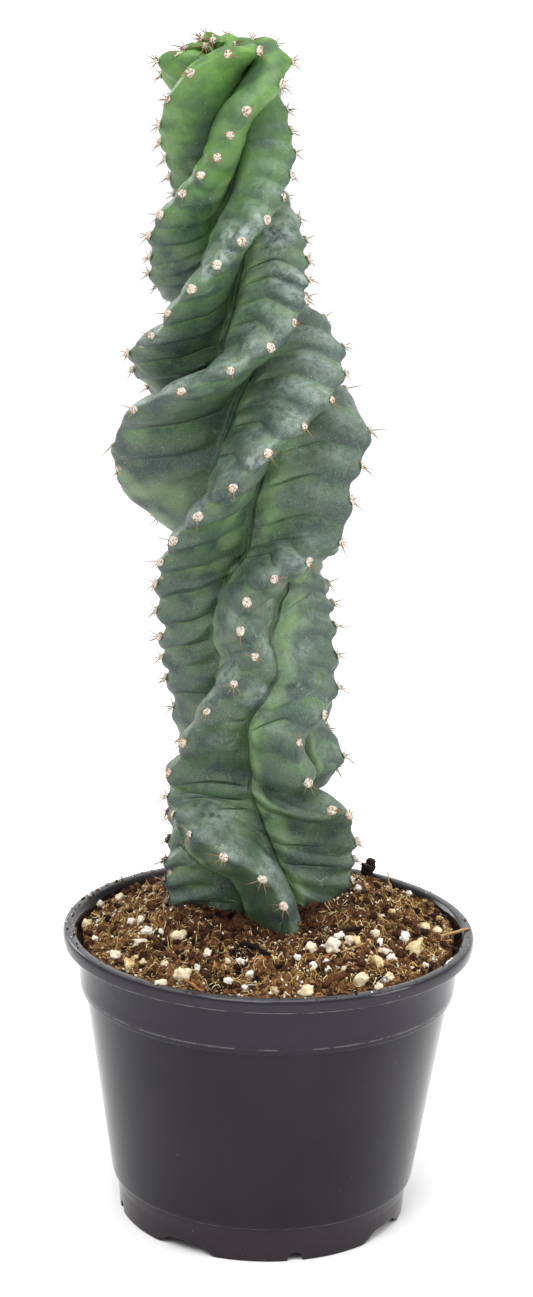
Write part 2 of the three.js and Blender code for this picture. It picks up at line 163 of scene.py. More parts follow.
# Where furrows run aside: [rib on its left, cushion number, turn in degrees, share of filling, spread].
FURROW_TRIMS = [[2, 28.6, -20, 0.65, 1.9], [3, 33.0, 0, -0.3, 0.9]]


def ramp(value, start, end):
    """3u^2 - 2u^3, where u goes from 0 at the start to 1 at the end and stays there."""
    u = np.clip((value - start) / (end - start), 0, 1)
    return u * u * (3 - 2 * u)


def read_table(rows, position):
    """Values between a table's rows: the cubic on each span whose slope at a row is its neighbours'."""
    rows = np.array(rows, float)
    at, values = rows[:, 0], rows[:, 1:]
    before = np.maximum(np.arange(len(at)) - 1, 0)
    after = np.minimum(np.arange(len(at)) + 1, len(at) - 1)
    slopes = (values[after] - values[before]) / (at[after] - at[before])[:, None]
    position = np.asarray(position, float)
    row = np.clip(np.searchsorted(at, position) - 1, 0, len(at) - 2)
    span = (at[row + 1] - at[row])[..., None]
    u = np.clip((position - at[row])[..., None] / span, 0, 1)
    start, end = values[row], values[row + 1]
    leave, arrive = slopes[row] * span, slopes[row + 1] * span
    cube = 2 * start - 2 * end + leave + arrive
    square = 3 * end - 3 * start - 2 * leave - arrive
    return ((cube * u + square) * u + leave) * u + start


def radial(turn):
    """(sin a, -cos a, 0): the level direction at a turn of a degrees from the front."""
    angle = np.radians(turn)
    return np.stack([np.sin(angle), -np.cos(angle), np.zeros_like(angle)], axis=-1)


def sideways(turn):
    """(cos a, sin a, 0): the level direction to the right of an outward look at a turn of a degrees."""
    angle = np.radians(turn)
    return np.stack([np.cos(angle), np.sin(angle), np.zeros_like(angle)], axis=-1)


def lean_at(height):
    """(lean(h), 0, h): the point of the stem's axis at a height h."""
    sideways_lean = read_table(LEAN, height)[..., 0]
    return np.stack([sideways_lean, np.zeros_like(sideways_lean), height], axis=-1)


def knobs(number):
    """Swelling from -0.7 in a notch, through 0.15 at a whole number, to 0.3 at a knob, then steeply back."""
    f = number - np.floor(number)
    rising = -0.7 + 0.85 * ramp(f, NOTCH_AT, 1 + KNOB_AT)
    falling = 0.3 - ramp(f, KNOB_AT, NOTCH_AT)
    return np.where(f < KNOB_AT, 0.3 * ramp(f, -KNOB_AT, KNOB_AT), np.where(f < NOTCH_AT, falling, rising))


def half_thickness(share_and_most, reach):
    """The share of the reach, but at most the second value."""
    share, most = share_and_most
    return np.minimum(share * reach, most)


def crest_at(rib, number):
    """A rib's crest: the axis at its height plus its reach outwards, with the direction across its slope."""
    height, turn, reach = np.moveaxis(read_table(RIBS[rib], number), -1, 0)
    above = read_table(RIBS[rib], number - SLOPE_SPAN)
    below = read_table(RIBS[rib], number + SLOPE_SPAN)
    rise = np.maximum(above[..., 0] - below[..., 0], LEAST_RISE)
    run = np.radians(above[..., 1] - below[..., 1]) * reach
    slant = np.hypot(rise, run)
    out = radial(turn)
    across = sideways(turn) * (rise / slant)[..., None]
    across[..., 2] -= run / slant
    depth = read_table(NOTCH_DEPTH, number)[..., 0]
    tip = reach + depth * knobs(number)
    for on_rib, at, change, spread in TRIMS:
        if on_rib == rib:
            tip = tip + change * np.exp(-((number - at) / spread) ** 2)
    point = lean_at(height) + out * tip[..., None]
    return {"point": point, "out": out, "across": across, "height": height, "turn": turn,
            "reach": tip, "depth": depth}


def furrow_at(rib, left, right, right_turn, number):
    """The furrow between two crests: at their mean turn and height, as deep as their roots leave room for."""
    half_angle = np.radians(np.maximum((right_turn - left["turn"]) / 2, LEAST_HALF_ANGLE))
    reach = (left["reach"] + right["reach"]) / 2
    drop, filled = read_table(FURROW_FORM, number).T
    turn = (left["turn"] + right_turn) / 2
    for on_rib, at, change, filling, spread in FURROW_TRIMS:
        if on_rib == rib:
            share = np.exp(-((number - at) / spread) ** 2)
            turn, filled = turn + change * share, filled + filling * share
    radius = half_thickness(ROOT_HALF, reach) / np.sin(half_angle) * (1 + filled)
    height = (left["height"] + right["height"]) / 2 - drop
    point = lean_at(height) + radial(turn) * radius[..., None]
    return {"point": point, "radius": radius}


def flank(crest, furrow, side, number, t):
    """Cubic curve from the furrow, t = 0, to the crest, t = 1, full at its middle and round at its edge."""
    point, reach, depth, out, across = [crest[key] for key in ("point", "reach", "depth", "out", "across")]
    edge_half = half_thickness(EDGE_HALF, reach) + EDGE_KNOB * depth * knobs(number)
    middle_half = half_thickness(MIDDLE_HALF, reach) + MIDDLE_KNOB * depth * knobs(number + 0.25)
    inward = MIDDLE_INSET * (reach - furrow["radius"])
    edge = point + across * side * edge_half[:, None] - out * (EDGE_INSET * reach)[:, None]
    middle = point + across * side * middle_half[:, None] - out * inward[:, None]
    corners = [furrow["point"], middle, edge, point]
    weights = [(1 - t) ** 3, 3 * (1 - t) ** 2 * t, 3 * (1 - t) * t ** 2, t ** 3]
    return sum(corner[:, None] * weight[None, :, None] for corner, weight in zip(corners, weights))


def stem_grid():
    """Rings of points from the root up, four ribs to a ring, each its left flank, crest and right flank."""
    steps = int((ROOT_NUMBER - TOP_NUMBER) * STEPS_PER_CUSHION)
    number = np.linspace(ROOT_NUMBER, TOP_NUMBER, steps + 1)
    t = np.linspace(0, 1, FLANK_STEPS + 1) ** STEP_POWER
    crests = [crest_at(rib, number) for rib in range(4)]
    furrows = []
    for rib in range(4):
        following = crests[(rib + 1) % 4]
        right_turn = following["turn"] + (360 if rib == 3 else 0)
        furrows.append(furrow_at(rib, crests[rib], following, right_turn, number))
    columns, nearness, whose = [], [], []
    for rib in range(4):
        left = flank(crests[rib], furrows[rib - 1], -1, number, t)
        right = flank(crests[rib], furrows[rib], 1, number, t)
        columns += [left[:, :-1], right[:, :0:-1]]
        nearness += [t[:-1], t[:0:-1]]
        whose += [np.full(FLANK_STEPS, rib)] * 2
    points = np.concatenate(columns, axis=1) + ramp(number, 0, -3)[:, None, None] * CROWN_SHIFT
    return points, number, np.concatenate(nearness), np.concatenate(whose)


def unit(vectors):
    """Vectors divided by their lengths."""
    return vectors / np.maximum(np.linalg.norm(vectors, axis=-1, keepdims=True), 1e-9)


def grid_normals(points):
    """Unit cross product of the differences along both directions of a grid that closes sideways."""
    around = np.roll(points, -1, axis=1) - np.roll(points, 1, axis=1)
    return unit(np.cross(around, np.gradient(points, axis=0)))


def quads(rows, columns, wraps=False):
    """Quads of a grid that closes sideways, and where it wraps also from its last row to its first."""
    row, column = np.meshgrid(np.arange(rows if wraps else rows - 1), np.arange(columns), indexing="ij")
    low, high, beside = row * columns, (row + 1) % rows * columns, (column + 1) % columns
    corners = [low + column, low + beside, high + beside, high + column]
    return np.stack(corners, axis=-1).reshape(-1, 4)


def closed_faces(rows, columns):
    """Quads of a grid that closes sideways, and fans from its first and last row to one extra point each."""
    ring = np.arange(columns)
    beside, last = (ring + 1) % columns, (rows - 1) * columns
    first_fan = np.stack([beside, ring, np.full(columns, rows * columns)], axis=-1)
    last_fan = np.stack([last + ring, last + beside, np.full(columns, rows * columns + 1)], axis=-1)
    return quads(rows, columns).tolist() + first_fan.tolist() + last_fan.tolist()


def add_mesh(name, points, faces, material, marks=()):
    """A smooth-shaded mesh object at the origin, from points in millimetres, with named values per point."""
    mesh = bpy.data.meshes.new(name)
    mesh.from_pydata((np.asarray(points) * MM).tolist(), [], faces)
    for key, values in dict(marks).items():
        values = np.asarray(values, np.float32).ravel()
        mesh.attributes.new(key, "FLOAT", "POINT").data.foreach_set("value", values)
    mesh.polygons.foreach_set("use_smooth", np.ones(len(mesh.polygons), bool))
    mesh.materials.append(material)
    mesh.update()
    made = bpy.data.objects.new(name, mesh)
    bpy.context.collection.objects.link(made)
    return made


# How many random values noise draws on, and large primes that spread a cube's place over them.
NOISE_VALUES = 4096
HASH = (73856093, 19349663, 83492791)


def lattice_noise(points, size, seed):
    """Smooth noise from -1 to 1: random values at the corners of cubes of a size, blended by 3u^2 - 2u^3."""
    values = np.random.default_rng(seed).uniform(-1, 1, NOISE_VALUES)
    cell = np.asarray(points) / size
    low = np.floor(cell).astype(np.int64)
    u = ramp(cell - low, 0, 1)
    total = np.zeros(cell.shape[:-1])
    for corner in itertools.product((0, 1), repeat=3):
        x, y, z = np.moveaxis(low + corner, -1, 0)
        weight = np.prod(np.where(corner, u, 1 - u), axis=-1)
        total += weight * values[(x * HASH[0] ^ y * HASH[1] ^ z * HASH[2]) % NOISE_VALUES]
    return total


def crease_number(points, number, nearness, whose):
    """The number of the crest level with a point, after a rise that bends the creases near the furrow."""
    on_right = np.arange(points.shape[1]) // FLANK_STEPS % 2
    bend_right = 5 - 6 * ramp(number, 26, 32)
    bend_left = -5 + 7 * ramp(number, 31, 35)
    bend = np.where(on_right, bend_right[:, None], bend_left[:, None])
    lifted = points[..., 2] - (4.5 * ramp(nearness, 1, 0.35) + bend * ramp(nearness, 0.42, 0))
    level = np.empty(lifted.shape)
    along = np.linspace(ROOT_NUMBER, 0, 600)
    for rib in range(4):
        mine = whose == rib
        level[:, mine] = np.interp(lifted[:, mine], read_table(RIBS[rib], along)[:, 0], along)
    own = np.broadcast_to(number[:, None], level.shape)
    return own + (level - own) * ramp(own, 4, 12)


# Room for the creases of one flank, and for how many of them lie above cushion number 0.
CREASE_ROOM = 64
CREASES_ABOVE = 8
# Creases as the photograph shows them: [rib, side, number of the cushion above, swelling, depth, length].
CREASES = [
    [0, 1, 17, 0.6, 0.9, 0.5], [0, 1, 18, 1.3, 1.8, 1.1], [0, 1, 19, 0.25, 0, 0], [0, 1, 20, 0.15, 0, 0],
    [0, 1, 21, 0.2, 0, 0], [0, 1, 22, 0.3, 0, 0], [0, 1, 23, 0.4, 0.7, 0.2], [2, 1, 27, 0.35, 0, 0],
    [2, 1, 28, 0.3, 0, 0], [2, 1, 29, 0.3, 0, 0], [2, 1, 30, 0.5, 0.7, 0.3], [2, 1, 31, 0.5, 1.1, 0.4],
    [2, 1, 32, 0.4, 0.5, 0.2], [2, 1, 33, 0.7, 1.5, 0.9], [2, 1, 34, 0.5, 1.3, 0.5],
    [2, 1, 35, 0.4, 1.2, 0.3], [2, 1, 36, 0.2, 0, 0], [2, 1, 37, 0.1, 0, 0], [2, 1, 38, 0.1, 0, 0],
    [2, 1, 39, 0.1, 0, 0], [2, 1, 40, 0.1, 0, 0], [2, -1, 36, 0.2, 0, 0], [2, -1, 37, 0.2, 0, 0],
    [2, -1, 38, 0.25, 0.6, 0.3], [2, -1, 39, 0.1, 0, 0], [2, -1, 40, 0.1, 0, 0], [3, -1, 32, 0.3, 0, 0],
    [3, -1, 33, 0.3, 0, 0], [3, -1, 34, 0.3, 0, 0], [3, -1, 35, 0.4, 1.2, 0.4], [3, -1, 36, 0.35, 1.1, 0.8],
    [3, -1, 37, 0.25, 0.5, 0.3], [3, -1, 38, 0.2, 0.6, 0.3],
]


def skin_relief(points, number, nearness, whose):
    """Outward move: sagging pillows r(f/0.72) - r((f-0.76)/0.24), a furrow with one full lip, and lumps."""
    folds = crease_number(points, number, nearness, whose) - NOTCH_AT
    f = folds - np.floor(folds)
    side = np.arange(points.shape[1]) // FLANK_STEPS
    on_left = side % 2 == 0
    swell, cut, length = np.random.default_rng(31).uniform(0.3, 1.3, (3, len(RIBS) * 2, CREASE_ROOM))
    for rib, on_side, above, swelling, deep, long in CREASES:
        chosen = 2 * rib + (on_side > 0), above + CREASES_ABOVE
        swell[chosen], cut[chosen], length[chosen] = swelling, deep, long
    own = swell[side, np.floor(folds).astype(int) + CREASES_ABOVE]
    nearest = np.round(folds).astype(int) + CREASES_ABOVE
    grown = ramp(number, 3, 12)[:, None]
    inner = ramp(nearness, 0.02, 0.16)
    pillow = (ramp(f, 0, 0.72) - ramp(f, 0.76, 1)) * own * inner * (1 - 0.7 * ramp(nearness, 0.6, 0.97))
    strong = 0.5 + 0.3 * ramp(number, 9, 14) - 0.2 * ramp(number, 22, 30) - 0.2 * ramp(number, 32, 36)
    full_lip = np.exp(-((nearness - 0.13) / 0.08) ** 2)
    hollow = -0.9 * np.exp(-(nearness / 0.14) ** 2)
    lip = np.where(on_left, full_lip, hollow) * ramp(number, 3, 9)[:, None]
    lip = lip - 0.5 * np.exp(-(nearness / 0.035) ** 2)
    bead = np.cos(2 * np.pi * number) * (ramp(number, 3, 0.5) - 0.6 * ramp(number, 0, -1))
    bead = bead[:, None] * ramp(nearness, 0.4, 0.95)
    bumps = 0.4 * lattice_noise(points, 24, 5) + 0.3 * lattice_noise(points, 10, 6) * grown
    pillow = read_table(NOTCH_DEPTH, number)[:, :1] * pillow * grown * strong[:, None]
    ends = 0.25 + 0.5 * length[side, nearest]
    line = 1.6 * (cut[side, nearest] - 0.72).clip(0) * inner * ramp(nearness, ends, 0.5 * ends)
    drawn = (1.3 - 0.5 * ramp(number, 13, 16) + 0.5 * ramp(number, 26, 30)) * ramp(number, 7, 15)
    # sides: painted light on the full lip at one side of each furrow, and painted shade down its other side
    sides = np.where(on_left, np.exp(-((nearness - 0.11) / 0.07) ** 2), -ramp(nearness, 0.45, 0.05))
    return pillow + lip + 0.9 * bead + bumps, {
        "fold": folds, "crease": np.clip(line * drawn[:, None], 0, 1),
        "folded": np.clip(own * inner * grown, 0, 1), "sides": sides * ramp(number, 4, 12)[:, None],
    }


# Tubercles and hollows of the crown: [how far right, how far back, radius, rise].
TUBERCLES = [
    [-32, 11, 3, 0.8], [-33.5, 7, 2.2, 0.5], [-24, 10, 2.6, 0.6], [-28, 3, 2.6, -1.4], [-28, -4, 2.4, -0.8],
    [-21, 3, 2, -0.8], [-19, 11, 2.6, 0.5],
]


def crown_relief(points):
    """Rise of the crown: for each tubercle its rise times exp(-(level distance / radius)^2)."""
    total = np.zeros(points.shape[:2])
    for right, back, radius, rise in TUBERCLES:
        apart = np.hypot(points[..., 0] - right, points[..., 1] - back)
        total += rise * np.exp(-(apart / radius) ** 2)
    return total * ramp(points[..., 2], 448, 456)


skin_points, skin_number, skin_nearness, skin_rib = stem_grid()
skin_moved, fold_marks = skin_relief(skin_points, skin_number, skin_nearness, skin_rib)
skin_points = skin_points + grid_normals(skin_points) * skin_moved[..., None]
skin_points[..., 2] += crown_relief(skin_points)


def colour(code):
    """Linear colour of an sRGB hex code: ((c + 0.055) / 1.055)^2.4, or c / 12.92 for c up to 0.04045."""
    parts = np.array([int(code[i:i + 2], 16) / 255 for i in (1, 3, 5)])
    linear = np.where(parts > 0.04045, ((parts + 0.055) / 1.055) ** 2.4, parts / 12.92)
    return (*linear, 1)


def feed(node, inputs):
    """Gives a node's inputs, named or in order, each a plain value or another node's output."""
    for key, value in inputs.items() if isinstance(inputs, dict) else enumerate(inputs):
        if isinstance(value, bpy.types.NodeSocket):
            node.id_data.links.new(value, node.inputs[key])
        else:
            node.inputs[key].default_value = value


# Inputs in order are, of a MapRange, the value, the ends of its range and what they become, and of a
# TexNoise, the place, a number that picks the pattern, 1 / patch size, the detail and the roughness.
def add(tree, kind, inputs, out=0, stops=(), **settings):
    """Adds a shader node with its settings, inputs and colour stops, and gives one of its outputs."""
    made = tree.nodes.new("ShaderNode" + kind)
    for key, value in settings.items():
        setattr(made, key, value)
    feed(made, inputs)
    if stops:
        made.color_ramp.elements.remove(made.color_ramp.elements[1])
    for at, code in stops:
        stop = made.color_ramp.elements.new(at) if at else made.color_ramp.elements[0]
        stop.color = colour(code)
    return made.outputs[out]


def times(node, first, *others):
    """Product of values."""
    for other in others:
        first = node("Math", [first, other], operation="MULTIPLY")
    return first


def paint(node, base, *layers):
    """A colour with layers [factor, hex code, strength or nothing] laid over it in turn."""
    base = colour(base) if isinstance(base, str) else base
    for factor, code, *strength in layers:
        inputs = {0: times(node, factor, *strength), 6: base, 7: colour(code)}
        base = node("Mix", inputs, out=2, data_type="RGBA")
    return base


def specks(node, place, size, seed, chance, edge, core):
    """1 in the middle of some random cells size millimetres across, falling from a core to 0 at an edge."""
    inputs = {"Vector": place, "W": seed, "Scale": 1 / (size * MM)}
    shade = node("TexVoronoi", inputs, out="Color", voronoi_dimensions="4D")
    luck = node("MapRange", [node("SeparateColor", [shade]), 1 - chance, 1.02 - chance])
    return times(node, node("MapRange", [shade.node.outputs["Distance"], edge, core]), luck)


def new_material(name):
    """An empty material, the function that adds nodes to it, and its object's coordinates."""
    made = bpy.data.materials.new(name)
    made.use_nodes = True
    node = functools.partial(add, made.node_tree)
    return made, node, node("TexCoord", [], out="Object")


def dress(made, base, rough, sheen, height=None, depth=0.0):
    """Gives a material's surface its colour, roughness, specular level and a bump of that depth in mm."""
    surface = made.node_tree.nodes["Principled BSDF"]
    feed(surface, {"Base Color": base, "Roughness": rough, "Specular IOR Level": sheen})
    if height is not None:
        bump = {"Height": height, "Distance": depth * MM, "Strength": 1.0}
        feed(surface, {"Normal": add(made.node_tree, "Bump", bump)})
    return made


def skin_material():
    """Waxy skin: bright green on top, grey-green below, yellow by furrows, slate at edges, dusted white;
    painted light and shade.
    """
    made, node, place = new_material("waxy cactus skin")
    age, nearness, sides, folded, upward, bloom, crease, fold = [
        node("Attribute", [], out="Fac", attribute_name=key)
        for key in ("age", "nearness", "sides", "folded", "upward", "bloom", "crease", "fold")
    ]
    fold = node("Math", [fold], operation="FRACT")
    old = node("MapRange", [age, 0.03, 0.2])
    clouds = node("TexNoise", [place, 0, 1 / (30 * MM), 3, 0.55], noise_dimensions="4D")
    patches = node("TexNoise", [place, 3, 1 / (9 * MM), 4, 0.55], noise_dimensions="4D")
    mottle = node("TexNoise", [place, 6, 1 / (2.6 * MM), 4, 0.65], noise_dimensions="4D")
    grain = node("TexNoise", [place, 7, 1 / (0.55 * MM), 3, 0.7], noise_dimensions="4D")
    uneven_age = node("Math", [age, node("MapRange", [clouds, 0.3, 0.7, -0.06, 0.06])], operation="ADD")
    by_age = node("ValToRGB", [uneven_age], stops=[
        (0, "#5c8736"), (0.11, "#507635"), (0.19, "#48653b"), (0.27, "#455a42"), (0.5, "#445544"),
        (0.72, "#445644"), (1, "#3c4d39"),
    ])
    by_furrow = times(
        node, node("MapRange", [nearness, 0.42, 0.05]), node("MapRange", [clouds, 0.38, 0.56, 0.35, 1])
    )
    # Painted light on the lit top of each pillow below a crease, laid on with the furrows' yellow-green
    lit_below_crease = times(
        node, node("MapRange", [fold, 0.45, 0.04]), folded, node("MapRange", [patches, 0.6, 0.4])
    )
    green = node("Math", [by_furrow, lit_below_crease], operation="MAXIMUM")
    # Painted shade on the underside of each pillow above a crease, joined below with the dark slate patches
    shade_above_crease = times(
        node, node("MapRange", [fold, 0.5, 0.95]), folded, node("MapRange", [nearness, 0.1, 0.5]), 0.8
    )
    patchy = times(node, node("MapRange", [patches, 0.5, 0.66]), old)
    slate = node("Math", [shade_above_crease, patchy], operation="MAXIMUM")
    # Pale wax film that also stands in for painted highlight: strongest on faces that look up and on the tops
    # of the pillows
    upper_face = times(node, node("MapRange", [fold, 0, 0.16]), node("MapRange", [fold, 0.75, 0.4]))
    wax_film_and_highlight = times(
        node, upward, node("MapRange", [upper_face, 0, 1, 0.35, 1]), node("MapRange", [mottle, 0.34, 0.6]),
        node("MapRange", [clouds, 0.36, 0.58, 0.1, 1]), old, node("MapRange", [age, 0.45, 0.8, 1, 0.65])
    )
    wax = times(node, bloom, node("MapRange", [mottle, 0.38, 0.56]))
    slopes = node("TexNoise", [place, 21, 1 / (15 * MM), 2, 0.55], noise_dimensions="4D")
    from_thread = node("Math", [node("Math", [slopes, 0.5], operation="SUBTRACT")], operation="ABSOLUTE")
    rubbed = node("TexNoise", [place, 22, 1 / (11 * MM), 2, 0.55], noise_dimensions="4D")
    scratch = times(
        node, node("MapRange", [from_thread, 0.007, 0.002]), node("MapRange", [rubbed, 0.54, 0.64]), old
    )
    grainy = node("MapRange", [age, 0, 0.3, 0.1, 0.3])
    # Dark lines along each crease and in the bottom of each furrow: painted shade, with a matching groove in
    # the bump
    from_crease = node("Math", [fold, 0.5], operation="PINGPONG")
    line = times(node, node("MapRange", [from_crease, 0.06, 0]), crease)
    gorge_shade = node("MapRange", [nearness, 0.022, 0.004])
    base = paint(
        node, by_age,
        (node("MapRange", [patches, 0.42, 0.58, 0, 0.55]), "#2c4a31"),
        (green, "#58803c", 0.54),
        # Painted light on the lip at one side of each furrow, painted shade on the other side
        (node("MapRange", [sides, 0.1, 0.9, 0, 0.5]), "#708c5c"),
        (node("MapRange", [sides, -0.1, -0.9, 0, 0.55]), "#223322"),
        # Dark slate patches, and painted shade above the creases
        (slate, "#28373a", 0.88),
        (node("Attribute", [], out="Fac", attribute_name="shadow_spot"), "#26353a", 0.8),
        (node("Attribute", [], out="Fac", attribute_name="pale"), "#748f60", 0.6),
        (wax_film_and_highlight, "#87958f", 0.8),
        (wax, "#a9b6b2", 0.5),
        (scratch, "#a9b8a4", 0.28),
        (node("MapRange", [grain, 0.5, 0.72]), "#8fa088", grainy),
        (node("MapRange", [grain, 0.5, 0.28]), "#1f2f22", grainy),
        (line, "#1a2a1d", 0.8),
        (gorge_shade, "#1b2b1d", 0.7),
        (specks(node, place, 1.5, 2, 0.38, 0.22, 0.1), "#a9bba8", 0.5),
        (node("Attribute", [], out="Fac", attribute_name="scar"), "#b89a72"),
    )
    swells = node("Math", [times(node, mottle, 0.35), times(node, grain, 0.12)], operation="ADD")
    height = node("Math", [swells, node("Math", [line, gorge_shade], operation="ADD")], operation="SUBTRACT")
    dress(made, base, node("MapRange", [patches, 0.35, 0.65, 0.4, 0.58]), 0.45, height, 0.7)
    feed(made.node_tree.nodes["Principled BSDF"], {
        "Subsurface Weight": 0.06, "Subsurface Radius": (0.4, 1.0, 0.3), "Subsurface Scale": 1.2 * MM,
    })
    return made


# Spots on the skin: [rib, cushion number, side of the rib, nearness to the crest, radius, strength].
# First tan scars and scabs, then patches of pale wax, then painted shade in dark blue-green, then pale
# yellow-green parts.
SCARS = [
    [0, 19.7, 1, 0.9, 1.1, 1], [0, 19.95, 1, 0.93, 1.3, 1], [0, 21.2, 1, 0.95, 0.8, 1],
    [1, 24.7, 1, 0.93, 1.0, 1], [0, 27.6, 1, 0.9, 0.9, 1], [0, 28.5, 1, 0.95, 0.8, 1],
    [3, 13.4, 1, 0.85, 0.9, 1], [1, 36.6, 1, 0.9, 1.1, 1],
]
WAXY = [
    [3, 8.1, -1, 0.95, 4, 0.8], [3, 8.8, -1, 0.93, 5.5, 1], [3, 9.6, -1, 0.95, 5, 1],
    [3, 10.4, -1, 0.96, 4, 0.8], [3, 9.2, -1, 0.64, 5, 0.8], [3, 10.2, -1, 0.58, 4, 0.7],
    [0, 9.2, -1, 0.7, 6, 0.7], [0, 10.1, -1, 0.42, 9, 0.9], [0, 10.8, -1, 0.32, 6, 0.5],
    [0, 12.2, -1, 0.9, 3, 0.6], [0, 15.3, -1, 0.7, 5, 0.7], [2, 17.3, -1, 0.85, 6, 0.7],
    [2, 27.7, -1, 0.8, 5, 0.4], [1, 20.4, -1, 0.93, 5, 1], [2, 20.5, -1, 0.9, 6, 0.7],
    [1, 18.1, -1, 0.4, 7, 0.5], [3, 33.5, 1, 0.9, 4, 0.5], [2, 33.6, -1, 0.96, 4, 0.8],
    [2, 28.5, 1, 0.25, 7, 0.4], [2, 30, 1, 0.3, 8, 0.3], [2, 31.5, 1, 0.3, 8, 0.3],
    [2, 30, -1, 0.6, 9, 0.4], [2, 38, 1, 0.5, 8, 0.4], [2, 36, 1, 0.4, 9, 0.4], [3, 25, -1, 0.9, 6, 0.5],
    [2, 40, 1, 0.5, 6, 0.3], [2, 26.6, 1, 0.3, 4, 0.7], [2, 27.4, 1, 0.13, 3, 0.8],
    [2, 28.2, 1, 0.1, 3, 0.8], [2, 29, 1, 0.1, 3, 0.8], [2, 29.8, 1, 0.12, 3, 0.7],
]
SHADE_SPOTS = [
    [2, 0.5, -1, 0.35, 7, 0.6], [2, 2, -1, 0.3, 8, 0.7], [2, 3.5, -1, 0.25, 7, 0.6],
    [1, 3.5, 1, 0.15, 6, 0.5], [1, 5, 1, 0.15, 7, 0.6], [1, 7, 1, 0.15, 6, 0.4], [1, 19.5, -1, 0.1, 7, 0.7],
    [2, 23, 1, 0.6, 9, 0.5], [2, 21.5, 1, 0.7, 8, 0.5], [3, 27.8, -1, 0.22, 8, 0.6],
    [3, 28.9, -1, 0.18, 8, 0.6], [3, 30.2, -1, 0.2, 7, 0.4], [2, 8.5, 1, 0.4, 9, 0.5],
    [0, 12.6, -1, 0.76, 10, 0.45], [3, 35.9, -1, 0.32, 9, 0.5], [1, 24.7, 1, 0.64, 9, 0.5],
    [1, 26.4, 1, 0.4, 8, 0.5], [1, 28.5, 1, 0.5, 8, 0.4], [2, 22.8, -1, 0.32, 9, 0.4],
    [0, 18.9, 1, 0.76, 8, 0.9], [0, 19, 1, 0.5, 9, 0.8], [0, 19.2, 1, 0.22, 9, 0.9],
    [1, 19.3, -1, 0.02, 6, 0.7], [1, 20.2, -1, 0.18, 6, 0.5], [3, 28.1, -1, 0.22, 9, 0.6],
    [3, 27.5, -1, 0.37, 8, 0.5], [3, 28.9, -1, 0.13, 8, 0.5], [2, 1.8, -1, 0.5, 6, 0.4],
    [3, 36.1, -1, 0.22, 7, 0.5], [3, 36.4, -1, 0.4, 7, 0.5], [3, 35.2, -1, 0.32, 7, 0.4],
    [2, 2.1, -1, 0.75, 5, 0.4], [2, 9.1, 1, 0.65, 8, 0.6], [2, 11.9, 1, 0.58, 8, 0.5],
    [3, 12.8, 1, 0.7, 7, 0.5], [1, 17.2, -1, 0.15, 7, 0.4], [0, 14.9, -1, 0.4, 6, 0.4],
    [3, 4.2, -1, 0.32, 6, 0.3], [0, 18.3, 1, 0.15, 8, 0.7], [0, 19.4, 1, 0.1, 7, 0.6],
    [2, 25.4, -1, 0.93, 6, 0.7], [2, 26.3, -1, 0.88, 4.5, 0.8], [2, 21.6, -1, 0.78, 7, 0.45],
    [2, 22.4, -1, 0.8, 7, 0.45], [2, 23.2, -1, 0.7, 8, 0.5], [2, 24, -1, 0.78, 6, 0.45],
    [3, 29.6, -1, 0.2, 8, 0.4],
]
PALE = [
    [0, 20.8, 1, 0.27, 9, 0.8], [0, 21.6, 1, 0.6, 9, 0.8], [0, 22.5, 1, 0.5, 8, 0.8],
    [0, 20.6, 1, 0.85, 6, 0.6], [1, 21.3, 1, 0.42, 5, 0.7], [1, 22.2, 1, 0.25, 6, 0.8],
    [1, 23.2, 1, 0.18, 6, 0.8], [1, 24, 1, 0.18, 5, 0.6], [0, 11.5, -1, 0.15, 7, 0.7],
    [2, 7.8, 1, 0.08, 6, 0.6], [0, 15.7, -1, 0.9, 6, 0.5], [3, 24.6, -1, 0.6, 7, 0.6],
    [1, 3.4, 1, 0.85, 7, 0.5], [1, 4.5, 1, 0.8, 6, 0.5], [2, 4.6, 1, 0.5, 5, 0.5], [2, 6.4, 1, 0.3, 6, 0.7],
    [2, 37, -1, 0.5, 8, 0.5], [3, 38, -1, 0.7, 7, 0.4], [0, 20.4, 1, 0.64, 7, 0.9],
    [0, 20.3, 1, 0.42, 6, 0.7], [0, 19.9, 1, 0.82, 5, 0.8], [0, 11.1, -1, 0.08, 6, 0.6],
    [2, 35.2, 1, 0.22, 8, 0.5], [2, 36.4, 1, 0.32, 7, 0.4],
]

# Counts against points of another rib or side when the one nearest to a spot's middle is sought.
ELSEWHERE = 10


def skin_spots(points, number, nearness, whose, table, ragged):
    """Greatest strength times r((radius - distance) / 0.6 radius) over a table's spots; distances waver."""
    side = np.where(np.arange(points.shape[1]) // FLANK_STEPS % 2 == 0, -1, 1)
    rough = ragged * lattice_noise(points, 2.5 * ragged, 14)
    found = np.zeros(points.shape[:2])
    for rib, at, on_side, near, radius, strength in table:
        row = np.argmin(abs(number - at))
        column = np.argmin(abs(nearness - near) + ELSEWHERE * ((whose != rib) | (side != on_side)))
        apart = np.linalg.norm(points - points[row, column], axis=-1) + rough
        found = np.maximum(found, strength * ramp(apart, radius, radius * 0.4))
    return found


